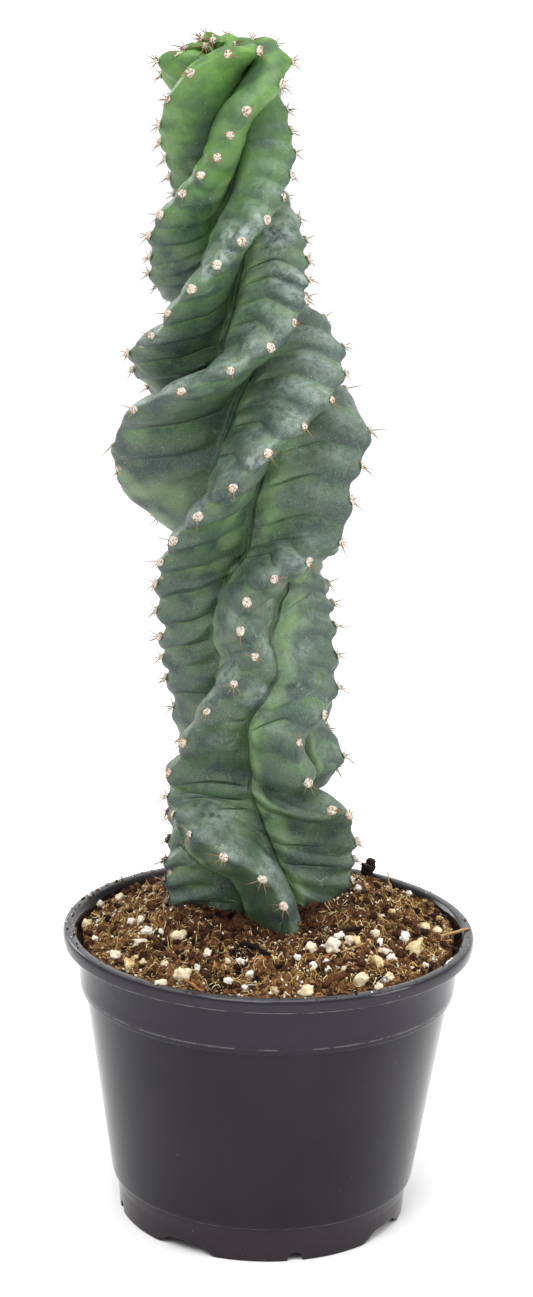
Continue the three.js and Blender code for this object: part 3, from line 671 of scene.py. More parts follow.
def skin_marks(points, number, nearness, whose):
    """Painted shade exp(-((f-0.33)/0.15)^2) below cushions and at listed spots, wax along crests, scars, and
    how far it faces up.
    """
    grid = points, number, nearness, whose
    f = number - np.floor(number)
    spot = np.exp(-((f - 0.33) / 0.15) ** 2)[:, None] * ramp(nearness, 0.66, 0.94)
    spot *= (0.5 + 0.9 * lattice_noise(points, 8, 12)) * ramp(number, 2.5, 7)[:, None]
    bloom = 0.5 * ramp(nearness, 0.7, 0.96) * ramp(lattice_noise(points, 15, 13), 0.1, 0.7)
    bloom = bloom * ramp(number, 6, 14)[:, None]
    return {
        "shadow_spot": np.maximum(spot, skin_spots(*grid, SHADE_SPOTS, 1.5)).clip(0, 1),
        "bloom": np.maximum(bloom, skin_spots(*grid, WAXY, 2.4)).clip(0, 1),
        "pale": skin_spots(*grid, PALE, 2.0), "scar": skin_spots(*grid, SCARS, 0.5),
        "upward": ramp(grid_normals(points)[..., 2], -0.15, 0.75),
    }


marks = skin_marks(skin_points, skin_number, skin_nearness, skin_rib)
marks.update(fold_marks)
marks["age"] = np.broadcast_to(skin_number[:, None] / ROOT_NUMBER, skin_moved.shape)
marks["nearness"] = np.broadcast_to(skin_nearness[None], skin_moved.shape)
marks = {key: np.append(values.ravel(), values[[0, -1], 0]) for key, values in marks.items()}
poles = [lean_at(np.array([ROOT_HEIGHT]))[0], lean_at(np.array([APEX_HEIGHT]))[0] + CROWN_SHIFT]
stem = add_mesh("stem_skin", np.concatenate([skin_points.reshape(-1, 3), poles]),
                closed_faces(*skin_points.shape[:2]), skin_material(), marks)
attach(stem, "root")
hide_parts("stem")

# The woolly cushions. Each is a low pad of cream felt, about 4 mm across, that sits on the rib's crest at
# every whole number above the soil. Brown stubs of the spines show in its middle.

FIRST_CUSHION = -3
# The dead cushions, low on the left: [rib, number].
DEAD = [[1, 34], [1, 35], [1, 36], [1, 37], [1, 38]]
# Cushions worn small, on the broad edge at the left, in the same form.
WORN_SMALL = [[0, 19], [0, 20], [0, 21]]
LAST_CUSHION = 41
SOIL_LINE = 128
PAD_RADIUS = 1.85
PAD_HEIGHT = 1.0
PAD_RINGS = 4
PAD_SIDES = 12
# Cushions that lie no higher than this above the soil are buried in it.
BURIED_MARGIN = 3


def crest_frames():
    """Where cushions sit on the skin, their directions, numbers and turns, and which are dead or small."""
    number = np.arange(FIRST_CUSHION, LAST_CUSHION + 1.0)
    row = np.round((ROOT_NUMBER - number) * STEPS_PER_CUSHION).astype(int)
    found = []
    for rib in range(4):
        crest = crest_at(rib, number)
        along = unit(crest_at(rib, number + 0.05)["point"] - crest_at(rib, number - 0.05)["point"])
        across = unit(np.cross(along, crest["out"]))
        frames = {
            "place": skin_points[row, (2 * rib + 1) * FLANK_STEPS], "out": np.cross(across, along),
            "along": along, "across": across, "number": number, "turn": crest["turn"],
            "dead": np.isin(number, [at for on_rib, at in DEAD if on_rib == rib]).astype(float),
            "small": np.isin(number, [at for on_rib, at in WORN_SMALL if on_rib == rib]),
        }
        shown = crest["point"][:, 2] > SOIL_LINE + BURIED_MARGIN
        found.append({key: values[shown] for key, values in frames.items()})
    return {key: np.concatenate([part[key] for part in found]) for key in found[0]}


def pad_shape():
    """Rings of a low dome: radius R sin(a) and height H cos(a), for a up to a little past its widest."""
    a = np.linspace(0.12, 1.75, PAD_RINGS)
    around = np.linspace(0, 2 * np.pi, PAD_SIDES, endpoint=False)
    ring = np.stack([np.cos(around), np.sin(around), np.zeros(PAD_SIDES)], axis=-1)
    dome = ring[None] * np.sin(a)[:, None, None] * PAD_RADIUS
    dome[..., 2] = (np.cos(a) * PAD_HEIGHT)[:, None]
    return dome.reshape(-1, 3)


def add_copies(name, points, faces, material, marks=()):
    """One mesh of many copies: points by copy, the faces of one copy, and values by copy or by point."""
    count, stride = points.shape[:2]
    every = [[corner + copy * stride for corner in face] for copy in range(count) for face in faces]
    spread = {}
    for key, values in dict(marks).items():
        values = np.asarray(values)
        spread[key] = np.broadcast_to(values.reshape(count, -1), (count, stride))
    return add_mesh(name, points.reshape(-1, 3), every, material, spread)


def pads(cushion):
    """A dome on each cushion's axes, made lumpy by noise, and exp(-(distance from its middle / 0.8)^2)."""
    place, out, along, across = [cushion[key][:, None] for key in ("place", "out", "along", "across")]
    size = np.random.default_rng(77).uniform(0.8, 1.12, len(place))
    size = size * (0.7 + 0.3 * ramp(cushion["number"], -3, 0)) * (1 - 0.5 * cushion["small"])
    local = pad_shape()[None] * size[:, None, None]
    world = place + local[..., :1] * across * 0.92 + local[..., 1:2] * along * 1.08
    world = world + local[..., 2:] * out
    world += out * (0.5 * lattice_noise(world, 0.9, 21) + 0.05)[..., None]
    world += across * (0.45 * lattice_noise(world, 1.1, 22))[..., None]
    return world, np.exp(-(np.hypot(local[..., 0], local[..., 1]) / 0.8) ** 2)


cushion = crest_frames()
pad_points, pad_middle = pads(cushion)


def wool_material():
    """Matted cream felt, browner in its middle where the spines come out, with a fibrous bump."""
    made, node, place = new_material("cream felt of the cushions")
    tufts = node("TexNoise", [place, 0, 1 / (0.5 * MM), 4, 0.7], noise_dimensions="4D")
    speckled = node("TexNoise", [place, 4, 1 / (0.8 * MM), 3, 0.55], noise_dimensions="4D")
    stained = node("TexNoise", [place, 5, 1 / (6 * MM), 1, 0.55], noise_dimensions="4D")
    middle, dead = [node("Attribute", [], out="Fac", attribute_name=key) for key in ("middle", "dead")]
    base = paint(
        node, "#8f7b66",
        (node("MapRange", [tufts, 0.36, 0.6]), "#efe8dd"),
        (node("MapRange", [stained, 0.52, 0.6, 0, 0.3]), "#c9a677"),
        (dead, "#3f281d", node("MapRange", [tufts, 0.62, 0.5])),
        (node("MapRange", [middle, 0.1, 0.7]), "#6d4732", node("MapRange", [speckled, 0.5, 0.6])),
    )
    return dress(made, base, 1.0, 0.1, tufts, 0.5)


def tube_faces(rows, columns):
    """Quads of rings stacked in rows, with one flat face closing the first ring and one closing the last."""
    ends = [list(range(columns)), [(rows - 1) * columns + c for c in reversed(range(columns))]]
    return quads(rows, columns)[:, [0, 3, 2, 1]].tolist() + ends


cushions = add_copies("felt_cushions", pad_points, tube_faces(PAD_RINGS, PAD_SIDES), wool_material(),
                      {"middle": pad_middle, "dead": cushion["dead"]})
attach(cushions, "root")

# The spines. Four to seven stiff needles, 3 to 9 mm long, spread from each cushion, most of them downwards.
# They are horn: amber at the root and grey-brown at the point. The youngest, at the top, are reddish.

SPINE_RADIUS = 0.24
SPINE_STEPS = 4
SPINE_SIDES = 4


def tubes(paths, radii, sides):
    """Points round each path, ring by ring: the path's point plus r (cos a, sin a) on the plane across it."""
    tangent = unit(np.gradient(paths, axis=1))
    helper = np.where(abs(tangent[..., 2:]) > 0.9, [1.0, 0, 0], [0, 0, 1.0])
    first = unit(np.cross(tangent, helper))
    second = np.cross(tangent, first)
    around = np.linspace(0, 2 * np.pi, sides, endpoint=False)
    ring = np.cos(around)[:, None] * first[..., None, :] + np.sin(around)[:, None] * second[..., None, :]
    return (paths[..., None, :] + ring * radii[..., None, None]).reshape(len(paths), -1, 3)


# [direction in degrees: 0 to the left, 90 down, 180 to the right, least length, greatest length, chance].
SPINE_FAN = [
    [0, 5.4, 8.6, 0.9], [52, 4.2, 7.0, 0.85], [100, 5.0, 7.6, 1], [140, 4.0, 6.4, 0.7],
    [185, 3.4, 6.0, 0.5], [270, 2.4, 4.6, 0.5],
]
YOUNG_FAN = [[225, 3.0, 5.5, 1], [315, 3.0, 5.5, 1], [20, 3.0, 5.0, 1]]


def spine_paths(cushion):
    """Needles from each cushion: straight lines tilted out from its face, spread in a fan of directions."""
    rng = np.random.default_rng(15)
    found = []
    lefts = -sideways(cushion["turn"])
    frames = zip(cushion["place"], cushion["out"], lefts, cushion["number"], cushion["small"])
    for place, out, left, number, worn in frames:
        young = 1 - ramp(number, 0, 6)
        grown = 1 - 0.4 * ramp(number, 1, 4) * ramp(number, 21, 14)
        left = unit(left - out * (left @ out))
        down = np.cross(left, out)
        down *= np.sign(down @ [0, 0, -1.0] + 1e-6)
        for sweep, least, most, chance in SPINE_FAN + (YOUNG_FAN if young > 0.3 else []):
            angle = np.radians(sweep + rng.normal(0, 14))
            luck, length = rng.random(), rng.uniform(least, most)
            tilt = rng.uniform(0.85, 1.3) - 0.35 * young * rng.random()
            if luck > chance * (1 - 0.7 * worn):
                continue
            lean = left * np.cos(angle) + down * np.sin(angle)
            way = out * np.cos(tilt) + lean * np.sin(tilt)
            found.append([place + out * 0.3 + lean * 0.6, way * (length * grown * (1 - 0.2 * young)), young])
    return [np.array(part) for part in zip(*found)]


spine_start, spine_way, spine_youth = spine_paths(cushion)
spine_share = np.linspace(0, 1, SPINE_STEPS)
spine_path = spine_start[:, None] + spine_way[:, None] * spine_share[:, None]
spine_thin = SPINE_RADIUS * (1 - 0.85 * spine_share ** 1.3)
spine_points = tubes(spine_path, np.broadcast_to(spine_thin, spine_path.shape[:2]), SPINE_SIDES)


def spine_material():
    """Horn: amber at the root, darker grey-brown towards the point, reddish where young, slightly shiny."""
    made, node, place = new_material("horny spine")
    share, youth = [node("Attribute", [], out="Fac", attribute_name=key) for key in ("share", "youth")]
    mottle = node("TexNoise", [place, 0, 1 / (1.5 * MM), 2, 0.55], noise_dimensions="4D")
    base = paint(
        node, "#9a7038",
        (node("MapRange", [share, 0.1, 0.95]), "#4a3b31"),
        (youth, "#7d4a36", 0.4),
        (node("MapRange", [mottle, 0.4, 0.7, 0, 0.5]), "#8d7a68"),
    )
    return dress(made, base, 0.45, 0.5)


spines = add_copies("spines", spine_points, tube_faces(SPINE_STEPS, SPINE_SIDES), spine_material(), {
    "share": np.tile(np.repeat(spine_share, SPINE_SIDES), len(spine_points)), "youth": spine_youth,
})
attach(spines, "root")

# The pot. A thin-walled nursery pot of black moulded plastic: a rolled rim, a shallow band below it, a
# tapered body and a stepped foot with four wide notches and four small ones. It stands on the foot's ring.

POT_WALL = 1.4
RIM_TOP = 119
FLOOR_TOP = 7
FLOOR_UNDERSIDE = 5.5
FOOT_OUTER = 57.9
FOOT_INNER = 55.9
# [radius, height, rounding] of the outside from the foot up, over the rim, and back down the inside.
POT_OUTLINE = [
    [FOOT_OUTER, 0, 0.4], [58.9, 14.5, 0.3], [60.7, 14.9, 0.4], [61.2, 16.4, 0.5], [73.2, 93.4, 0.4],
    [74.9, 94.2, 0.4], [75.5, 97.4, 0.9], [76.4, 113.4, 0.5], [82.1, 113.6, 0.5], [82.4, 117, 2.4],
    [81.6, 118.9, 1.0], [78.4, 119.0, 1.2], [76.9, 117.4, 1.0], [74.9, 113.0, 0.8], [74.1, 97.0, 0.5],
    [73.2 - POT_WALL, 94.0, 0.5], [61.2 - POT_WALL, 16.5, 0.5], [58.3, 8.5, 0.5], [57.0, FLOOR_TOP, 0.5],
]
POT_SIDES = 240
NOTCH_TURN = -31
WIDE_NOTCH = [13.6, 7.0, 4.2]
SMALL_NOTCH = [3.2, 0.4]
# Thin pale lines along edges, of wear and painted highlight: [height, half width, strength].
WORN_AND_GLINTING_EDGES = [[96.2, 0.4, 0.3], [14.8, 0.5, 0.3], [113.7, 0.4, 0.45]]
# Rows of points on the part of the foot that the notches cut, its top, and how much it widens upwards.
FOOT_ROWS = 12
CUT_TOP = 5
FOOT_TAPER = 0.065
# The small hole in the middle of the floor, and the most of a side that a corner's rounding takes up.
MIDDLE_HOLE = 2
MOST_OF_SIDE = 0.45
DRAIN_RADIUS = 5
DRAIN_AT = 44
DRAIN_SIDES = 32


def rounded(outline, steps):
    """A polyline whose corners are quadratic curves that start and end a rounding away from each corner."""
    outline = np.array(outline, float)
    points, rounding = outline[:, :2], outline[:, 2]
    found = [points[:1]]
    u = np.linspace(0, 1, steps)[:, None]
    for before, corner, after, size in zip(points[:-2], points[1:-1], points[2:], rounding[1:-1]):
        sides = np.array([before, after]) - corner
        lengths = np.linalg.norm(sides, axis=1, keepdims=True)
        start, end = corner + sides / lengths * np.minimum(size, MOST_OF_SIDE * lengths)
        found.append((1 - u) ** 2 * start + 2 * u * (1 - u) * corner + u ** 2 * end)
    return np.concatenate(found + [points[-1:]])


def notch_height(turn):
    """Height that the foot is cut up to at a turn: trapezoids every 90 degrees, and arcs 45 degrees on."""
    half_wide, half_top, high = WIDE_NOTCH
    along = np.radians((turn - NOTCH_TURN + 45) % 90 - 45) * FOOT_OUTER
    wide = np.clip((half_wide - abs(along)) / (half_wide - half_top) * high, 0, high)
    radius, lift = SMALL_NOTCH
    beside = np.radians((turn - NOTCH_TURN) % 90 - 45) * FOOT_OUTER
    small = np.where(abs(beside) < radius, lift + np.sqrt(np.maximum(radius ** 2 - beside ** 2, 0)), 0)
    return np.maximum(wide, small)


def pot_turns():
    """Even turns round the pot, with extra ones close to both sides of every small notch."""
    even = np.linspace(0, 360, POT_SIDES, endpoint=False)
    edge = np.degrees(SMALL_NOTCH[0] / FOOT_OUTER)
    near = np.concatenate([np.linspace(-edge, edge, 13), [-edge - 0.02, edge + 0.02]])
    extra = [(NOTCH_TURN + 45 + 90 * quarter + near) % 360 for quarter in range(4)]
    return np.unique(np.concatenate([even] + extra).round(4))


def pot_grid():
    """The outline turned about the axis, with no point of the foot lower than the notch at its turn."""
    levels = np.linspace(0.3, CUT_TOP, FOOT_ROWS)
    foot_outside = [[FOOT_OUTER + FOOT_TAPER * level, level] for level in levels]
    foot_inside = [[FOOT_INNER, level] for level in levels[::-1]]
    outline = np.concatenate([
        [[FOOT_INNER, 0], [FOOT_OUTER - 0.3, 0]], foot_outside, rounded(POT_OUTLINE, 5)[1:],
        [[MIDDLE_HOLE, FLOOR_TOP], [MIDDLE_HOLE, FLOOR_UNDERSIDE], [FOOT_INNER - 0.4, FLOOR_UNDERSIDE]],
        foot_inside,
    ])
    turns = pot_turns()
    points = radial(turns)[None] * outline[:, None, :1]
    height = outline[:, 1:]
    points[..., 2] = np.where(height <= CUT_TOP, np.maximum(height, notch_height(turns)), height)
    return points


def from_axis(node, place):
    """Level distance from the pot's axis: the length of x and y alone."""
    level = node("VectorMath", [place, (1, 1, 0)], operation="MULTIPLY")
    return node("VectorMath", [level], out="Value", operation="LENGTH")


def pot_material():
    """Black plastic: streaky gloss, edges of wear and painted highlight, dust, painted sheen and mud on the
    rim top.
    """
    made, node, place = new_material("black moulded plastic")
    smears = node("TexNoise", [place, 0, 1 / (40 * MM), 4, 0.55], noise_dimensions="4D")
    grain = node("TexNoise", [place, 0, 1 / (1.1 * MM), 2, 0.55], noise_dimensions="4D")
    wear = node("TexNoise", [place, 0, 1 / (6 * MM), 3, 0.55], noise_dimensions="4D")
    dust = node("TexNoise", [place, 0, 1 / (5 * MM), 4, 0.55], noise_dimensions="4D")
    mud = node("TexNoise", [place, 11, 1 / (2.4 * MM), 3, 0.55], noise_dimensions="4D")
    height = node("SeparateXYZ", [place], out="Z")
    on_top = node("MapRange", [height, (RIM_TOP - 0.8) * MM, (RIM_TOP - 0.3) * MM])
    # Near-black brown down the inner wall below the rim: peat smeared on it, and painted shade in the recess
    inside = times(
        node, node("MapRange", [from_axis(node, place), 78.6 * MM, 77.8 * MM]),
        node("MapRange", [height, 112 * MM, 114 * MM])
    )
    edge_wear_and_glints = []
    # Pale lines along the edges: wear, and painted highlights on them
    for edge, half, strength in WORN_AND_GLINTING_EDGES:
        above = node("Math", [height, edge * MM], operation="SUBTRACT")
        apart = node("Math", [above], operation="ABSOLUTE")
        line = node("MapRange", [apart, half * MM, 0.4 * half * MM])
        worn = times(node, line, node("MapRange", [wear, 0.42, 0.56]))
        edge_wear_and_glints.append((worn, "#8e8b8a", strength))
    base = paint(
        node, "#1b181d",
        (node("MapRange", [smears, 0.35, 0.7]), "#221f24"),
        (node("MapRange", [height, 94 * MM, 96 * MM, 0, 0.8]), "#28252c"),
        (node("MapRange", [height, 16 * MM, 14 * MM, 0, 0.6]), "#322c30"),
        (specks(node, place, 2.2, 5, 0.1, 0.16, 0.08), "#8d8983", 0.5),
        *edge_wear_and_glints,
        # The whole rim top painted lighter grey: dust, and painted sheen of its glossy top
        (on_top, "#47474a", node("MapRange", [dust, 0.3, 0.6, 0.4, 1])),
        (on_top, "#1c1310", node("MapRange", [mud, 0.6, 0.64])),
        (inside, "#130e0c", node("MapRange", [grain, 0.3, 0.6, 0.6, 1])),
    )
    streaks = node("MapRange", [smears, 0.3, 0.7, 0.13, 0.2])
    uneven = node("Math", [streaks, node("MapRange", [grain, 0.3, 0.7, -0.03, 0.03])], operation="ADD")
    rough = times(node, uneven, node("MapRange", [height, 114 * MM, 116 * MM, 1, 0.6]))
    sheen = node("MapRange", [height, 95 * MM, 115 * MM, 0.16, 0.24])
    return dress(made, base, rough, sheen, grain, 0.015)


def drill_floor(body):
    """Cuts the drain holes through the floor with four upright cylinders, one behind each wide notch."""
    turned_circle = radial(np.linspace(360, 0, DRAIN_SIDES, endpoint=False)) * DRAIN_RADIUS
    middles = radial(NOTCH_TURN + np.arange(4) * 90.0) * DRAIN_AT
    ends = np.array([[0, 0, FLOOR_UNDERSIDE - 2], [0, 0, FLOOR_TOP + 2]])
    points = middles[:, None, None] + ends[None, :, None] + turned_circle[None, None]
    faces = tube_faces(2, DRAIN_SIDES)
    drills = add_copies("drills", points.reshape(4, -1, 3), faces, body.data.materials[0])
    cut = body.modifiers.new("drain holes", "BOOLEAN")
    cut.operation = "DIFFERENCE"
    cut.object = drills
    drilled = bpy.data.meshes.new_from_object(body.evaluated_get(bpy.context.evaluated_depsgraph_get()))
    body.modifiers.clear()
    body.data = drilled
    bpy.data.objects.remove(drills)


pot_points = pot_grid()
pot_faces = quads(*pot_points.shape[:2], wraps=True).tolist()
pot = add_mesh("pot_body", pot_points.reshape(-1, 3), pot_faces, pot_material())
drill_floor(pot)
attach(pot, "root")
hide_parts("pot")

# The potting mix. It fills the pot to just below the rim, lies lowest at the back left and is heaped round
# the stem. Its surface is a rough crust of peat, full of small hollows.

SOIL_RIM = 74.3
SOIL_TURNS = 500
SOIL_RADII = 165
HIGH_SIDE_TURN = 70
HEAP_TURN = 105
# [radius, height] of its side against the pot, from the floor up.
SOIL_SIDE = [[57.1, 7.3], [59.4, 16.5], [71.4, 94.3], [73.6, 97.4], [73.9, 108]]


def soil_height(turn, radius):
    """Height at the rim, 116.5 + cos of the turn from the high side, plus a heap that fades to the rim."""
    at_rim = 116.5 + 1.0 * np.cos(np.radians(turn - HIGH_SIDE_TURN))
    heap = 13 + 3.5 * np.cos(2 * np.radians(turn - HEAP_TURN))
    wave = np.sin(0.31 * radius + turn * 0.09) * np.sin(turn * 0.13 + 1) * ramp(radius, 76, 66)
    return at_rim + heap * ramp(radius, 76, 34) + 1.1 * wave


def soil_roughness(points):
    """Clods: the sum of noises 9, 4, 1.8 and 0.9 mm across, the coarser two folded into sharp-edged lumps."""
    coarse = 2.0 * abs(lattice_noise(points, 9, 41)) + 2.2 * abs(lattice_noise(points, 4, 42))
    fine = 0.9 * lattice_noise(points, 1.8, 43) + 0.45 * lattice_noise(points, 0.9, 44)
    return coarse + fine - 1.6


def soil_on(across, depth):
    """The soil's surface at a place given by x and y, with its clods."""
    turn, radius = np.degrees(np.arctan2(across, -depth)), np.hypot(across, depth)
    turn = np.where(turn < 0, turn + 360, turn)
    flat = np.stack([across, depth, np.zeros_like(across)], axis=-1)
    lift = soil_roughness(flat) * ramp(radius, SOIL_RIM + 0.5, SOIL_RIM - 5)
    return soil_height(turn, radius) + lift


def near_stem(node, place):
    """1 beside the stem, falling to 0 two centimetres away from it."""
    return node("MapRange", [from_axis(node, place), 56 * MM, 38 * MM])


def soil_material():
    """Damp peat: near-black low spots, brown crumbs, golden matted fibres on the high spots, and painted
    shade in hollows.
    """
    made, node, place = new_material("damp peat mix")
    crumbs = node("TexNoise", [place, 0, 1 / (1.6 * MM), 5, 0.75], noise_dimensions="4D")
    patches = node("TexNoise", [place, 0, 1 / (12 * MM), 3, 0.55], noise_dimensions="4D")
    by_height = node("ValToRGB", [crumbs], stops=[
        (0, "#1c110b"), (0.34, "#1c110b"), (0.44, "#50331f"), (0.54, "#855c39"), (0.65, "#c09c66"),
    ])
    base = paint(
        node, by_height,
        (node("MapRange", [patches, 0.42, 0.62, 0, 0.55]), "#50301e"),
        (near_stem(node, place), "#3d2418", 0.6),
        # Painted shade in the hollows of the crust
        (node("Attribute", [], out="Fac", attribute_name="hollow"), "#150c08"),
    )
    return dress(made, base, 0.95, 0.15, crumbs, 1.2)


def soil_grid():
    """The surface by turn and radius, denser to the rim, and the side down to the pot's floor below it."""
    turns = np.linspace(0, 360, SOIL_TURNS, endpoint=False)
    radii = SOIL_RIM * np.linspace(1, 0.02, SOIL_RADII) ** 0.8
    top = radial(turns)[None] * radii[:, None, None]
    top[..., 2] = soil_on(top[..., 0], top[..., 1])
    rings = [radial(turns) * radius + [0, 0, height] for radius, height in SOIL_SIDE]
    return np.concatenate([rings, top])


soil_grid_points = soil_grid()
soil_poles = [[0, 0, SOIL_SIDE[0][1]], soil_grid_points[-1].mean(axis=0)]
soil_points = np.concatenate([soil_grid_points.reshape(-1, 3), soil_poles])
# How deep each point lies in a hollow of the crust, for the painted shade there
soil_hollow_shade = ramp(soil_roughness(soil_points * [1, 1, 0]), 0.1, -1.1)
soil_faces = closed_faces(*soil_grid_points.shape[:2])
soil = add_mesh("potting_mix", soil_points, soil_faces, soil_material(), {"hollow": soil_hollow_shade})
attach(soil, "root")
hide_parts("soil")

# The crumbs of the mix. Loose peat crumbs, half a millimetre to three across, lie all over the crust, and
# larger clods lie heaped against the stem. Some crumbs have dropped on the rim.

# Loose bits lie from this radius outwards, and at least this far from where the stem's axis meets the soil.
STREWN_FROM = 10
STEM_CLEAR = 27


def crumb_shape(divisions):
    """Points and faces of a ball of unit radius made of triangles."""
    ball = bmesh.new()
    bmesh.ops.create_icosphere(ball, subdivisions=divisions, radius=1)
    points = np.array([corner.co[:] for corner in ball.verts])
    faces = [[corner.index for corner in face.verts] for face in ball.faces]
    ball.free()
    return points, faces


def turned(count, rng):
    """Random rotation matrices: the orthogonal part of matrices of normally distributed numbers."""
    square = np.linalg.qr(rng.normal(size=(count, 3, 3)))[0]
    return square * np.sign(np.linalg.det(square))[:, None, None]


def lumps(centres, sizes, divisions, rough, grain, rng):
    """Balls of the sizes, turned at random and swollen by noise, as points, and the faces of one of them."""
    shape, faces = crumb_shape(divisions)
    offsets = rng.uniform(0, 500, (len(centres), 1, 3))
    swell = 1 + rough * lattice_noise(shape[None] * 3 + offsets, grain, 51)
    swell += 0.5 * rough * lattice_noise(shape[None] * 3 + offsets, grain * 0.45, 52)
    local = shape[None] * swell[..., None] * sizes[:, None]
    world = np.einsum("nij,nkj->nki", turned(len(centres), rng), local) + centres[:, None]
    return world, faces


def scattered(count, rng):
    """Random places on the soil, even over its area and clear of the stem: the first of thrice as many."""
    radius = np.sqrt(rng.uniform(STREWN_FROM ** 2, (SOIL_RIM - 0.5) ** 2, count * 3))
    turn = rng.uniform(0, 360, count * 3)
    x, y, _ = (radial(turn) * radius[:, None]).T
    free = np.hypot(x - lean_at(np.array([SOIL_LINE]))[0, 0], y) > STEM_CLEAR
    x, y = x[free][:count], y[free][:count]
    return np.stack([x, y, soil_on(x, y)], axis=-1)


def crumb_material():
    """Peat crumbs: each its own brown, from near black through reddish to golden, with a rough crust."""
    made, node, place = new_material("peat crumbs")
    own = node("ValToRGB", [node("Attribute", [], out="Fac", attribute_name="shade")], stops=[
        (0, "#000000"), (0.02, "#20130c"), (0.35, "#4e3122"), (0.65, "#765036"), (0.85, "#a68153"),
        (0.98, "#d6b67c"), (1, "#ffffff"),
    ])
    rugged = node("TexNoise", [place, 0, 1 / (0.6 * MM), 3, 0.55], noise_dimensions="4D")
    base = paint(
        node, own,
        (near_stem(node, place), "#40261a", 0.55),
        (node("MapRange", [rugged, 0.4, 0.6]), "#22140d"),
    )
    return dress(made, base, 0.95, 0.1, rugged, 0.5)


RIM_INNER = 76.5
RIM_MIDDLE = 80
# Rounds in which the height of a line's meeting with the soil settles, each going half the way.
MEETING_ROUNDS = 12


def camera_meets(x, y, height):
    """The point at a height where the camera's line through a place in the picture passes."""
    right = (x - PICTURE_WIDTH / 2 - RIGHTWARD_PIXELS) / FOCAL_PIXELS
    lower = (y - PICTURE_HEIGHT / 2) / FOCAL_PIXELS
    way = FORWARD + CAMERA_RIGHT * right - CAMERA_UP * lower
    return CAMERA_PLACE + way * (height - CAMERA_PLACE[2]) / way[2]


def on_soil(x, y):
    """Where the camera's line through a place in the picture meets the soil, or the rim's top outside it."""
    height = RIM_TOP
    for _ in range(MEETING_ROUNDS):
        at = camera_meets(x, y, height)
        surface = soil_on(at[:1], at[1:2])[0] if np.hypot(*at[:2]) < RIM_INNER else RIM_TOP
        height = 0.5 * height + 0.5 * surface
    if np.hypot(*at[:2]) > RIM_INNER:
        at[:2] *= np.clip(np.hypot(*at[:2]), RIM_MIDDLE - 1.2, RIM_MIDDLE + 1.2) / np.hypot(*at[:2])
    return at


def on_rim(count, rng):
    """Random places on the flat top of the rim, most of them on the left and at the back left."""
    turn = np.where(rng.random(count) < 0.7, rng.normal(-115, 35, count), rng.uniform(0, 360, count))
    spot = radial(turn) * rng.uniform(RIM_MIDDLE - 1.8, RIM_MIDDLE + 1.5, count)[:, None]
    spot[:, 2] = RIM_TOP + 0.1
    return spot


crumb_rng = np.random.default_rng(61)
CRUMBS = 2500
CRUMBS_ON_RIM = 110
# Heaps of larger clods: [x in the picture, y in the picture, how many, spread in mm].
CLODS = [
    [236, 929, 34, 4.0], [222, 926, 14, 2.5], [297, 914, 24, 2.4], [268, 934, 10, 2.5], [122, 893, 16, 4.0],
    [352, 876, 22, 3.5], [385, 880, 16, 4.5], [182, 903, 18, 3.0], [400, 925, 14, 4.5], [320, 950, 12, 5.0],
    [150, 950, 14, 5.0], [430, 905, 14, 5.0], [190, 950, 12, 5.0], [166, 880, 12, 3.0], [150, 882, 10, 3.0],
    [168, 893, 14, 3.0], [160, 905, 10, 3.0], [205, 915, 14, 3.0], [305, 925, 14, 3.0],
]
crumb_size = 0.35 + 1.7 * crumb_rng.random(CRUMBS) ** 5
crumb_centre = scattered(CRUMBS, crumb_rng) + [0, 0, 0.15]
crumb_centre[:CRUMBS_ON_RIM] = on_rim(CRUMBS_ON_RIM, crumb_rng)
crumb_size[:CRUMBS_ON_RIM] = 0.2 + 0.5 * crumb_rng.random(CRUMBS_ON_RIM) ** 3
crumb_stretch = crumb_size[:, None] * crumb_rng.uniform(0.6, 1.4, (CRUMBS, 3))
crumb_points, crumb_faces = lumps(crumb_centre, crumb_stretch, 1, 0.35, 1.3, crumb_rng)
clod_place = np.concatenate([
    on_soil(x, y) + crumb_rng.normal(0, spread, (count, 3)) * [1, 1, 0.25] for x, y, count, spread in CLODS])
clod_place *= np.minimum(1, (SOIL_RIM - 2.5) / np.hypot(clod_place[:, 0], clod_place[:, 1]))[:, None]
clod_place[:, 2] = soil_on(clod_place[:, 0], clod_place[:, 1]) + crumb_rng.uniform(0, 1.2, len(clod_place))
clod_size = crumb_rng.uniform(0.9, 2.1, (len(clod_place), 1))
clod_size = clod_size * crumb_rng.uniform(0.65, 1.2, (len(clod_place), 3))
clod_points, clod_faces = lumps(clod_place, clod_size, 2, 0.5, 1.2, crumb_rng)
crumbs = add_copies("peat_crumbs", crumb_points, crumb_faces, crumb_material(),
                    {"shade": crumb_rng.random(CRUMBS)})
clods = add_copies("peat_clods", clod_points, clod_faces, crumbs.data.materials[0],
                   {"shade": crumb_rng.uniform(0.15, 0.75, len(clod_points))})
for piece in (crumbs, clods):
    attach(piece, "root")

# The perlite. Bright white grains under a millimetre lie everywhere, and larger chips, up to 6 mm, where the
# photograph shows them. They are puffed volcanic glass, some stained cream or tan by the peat.

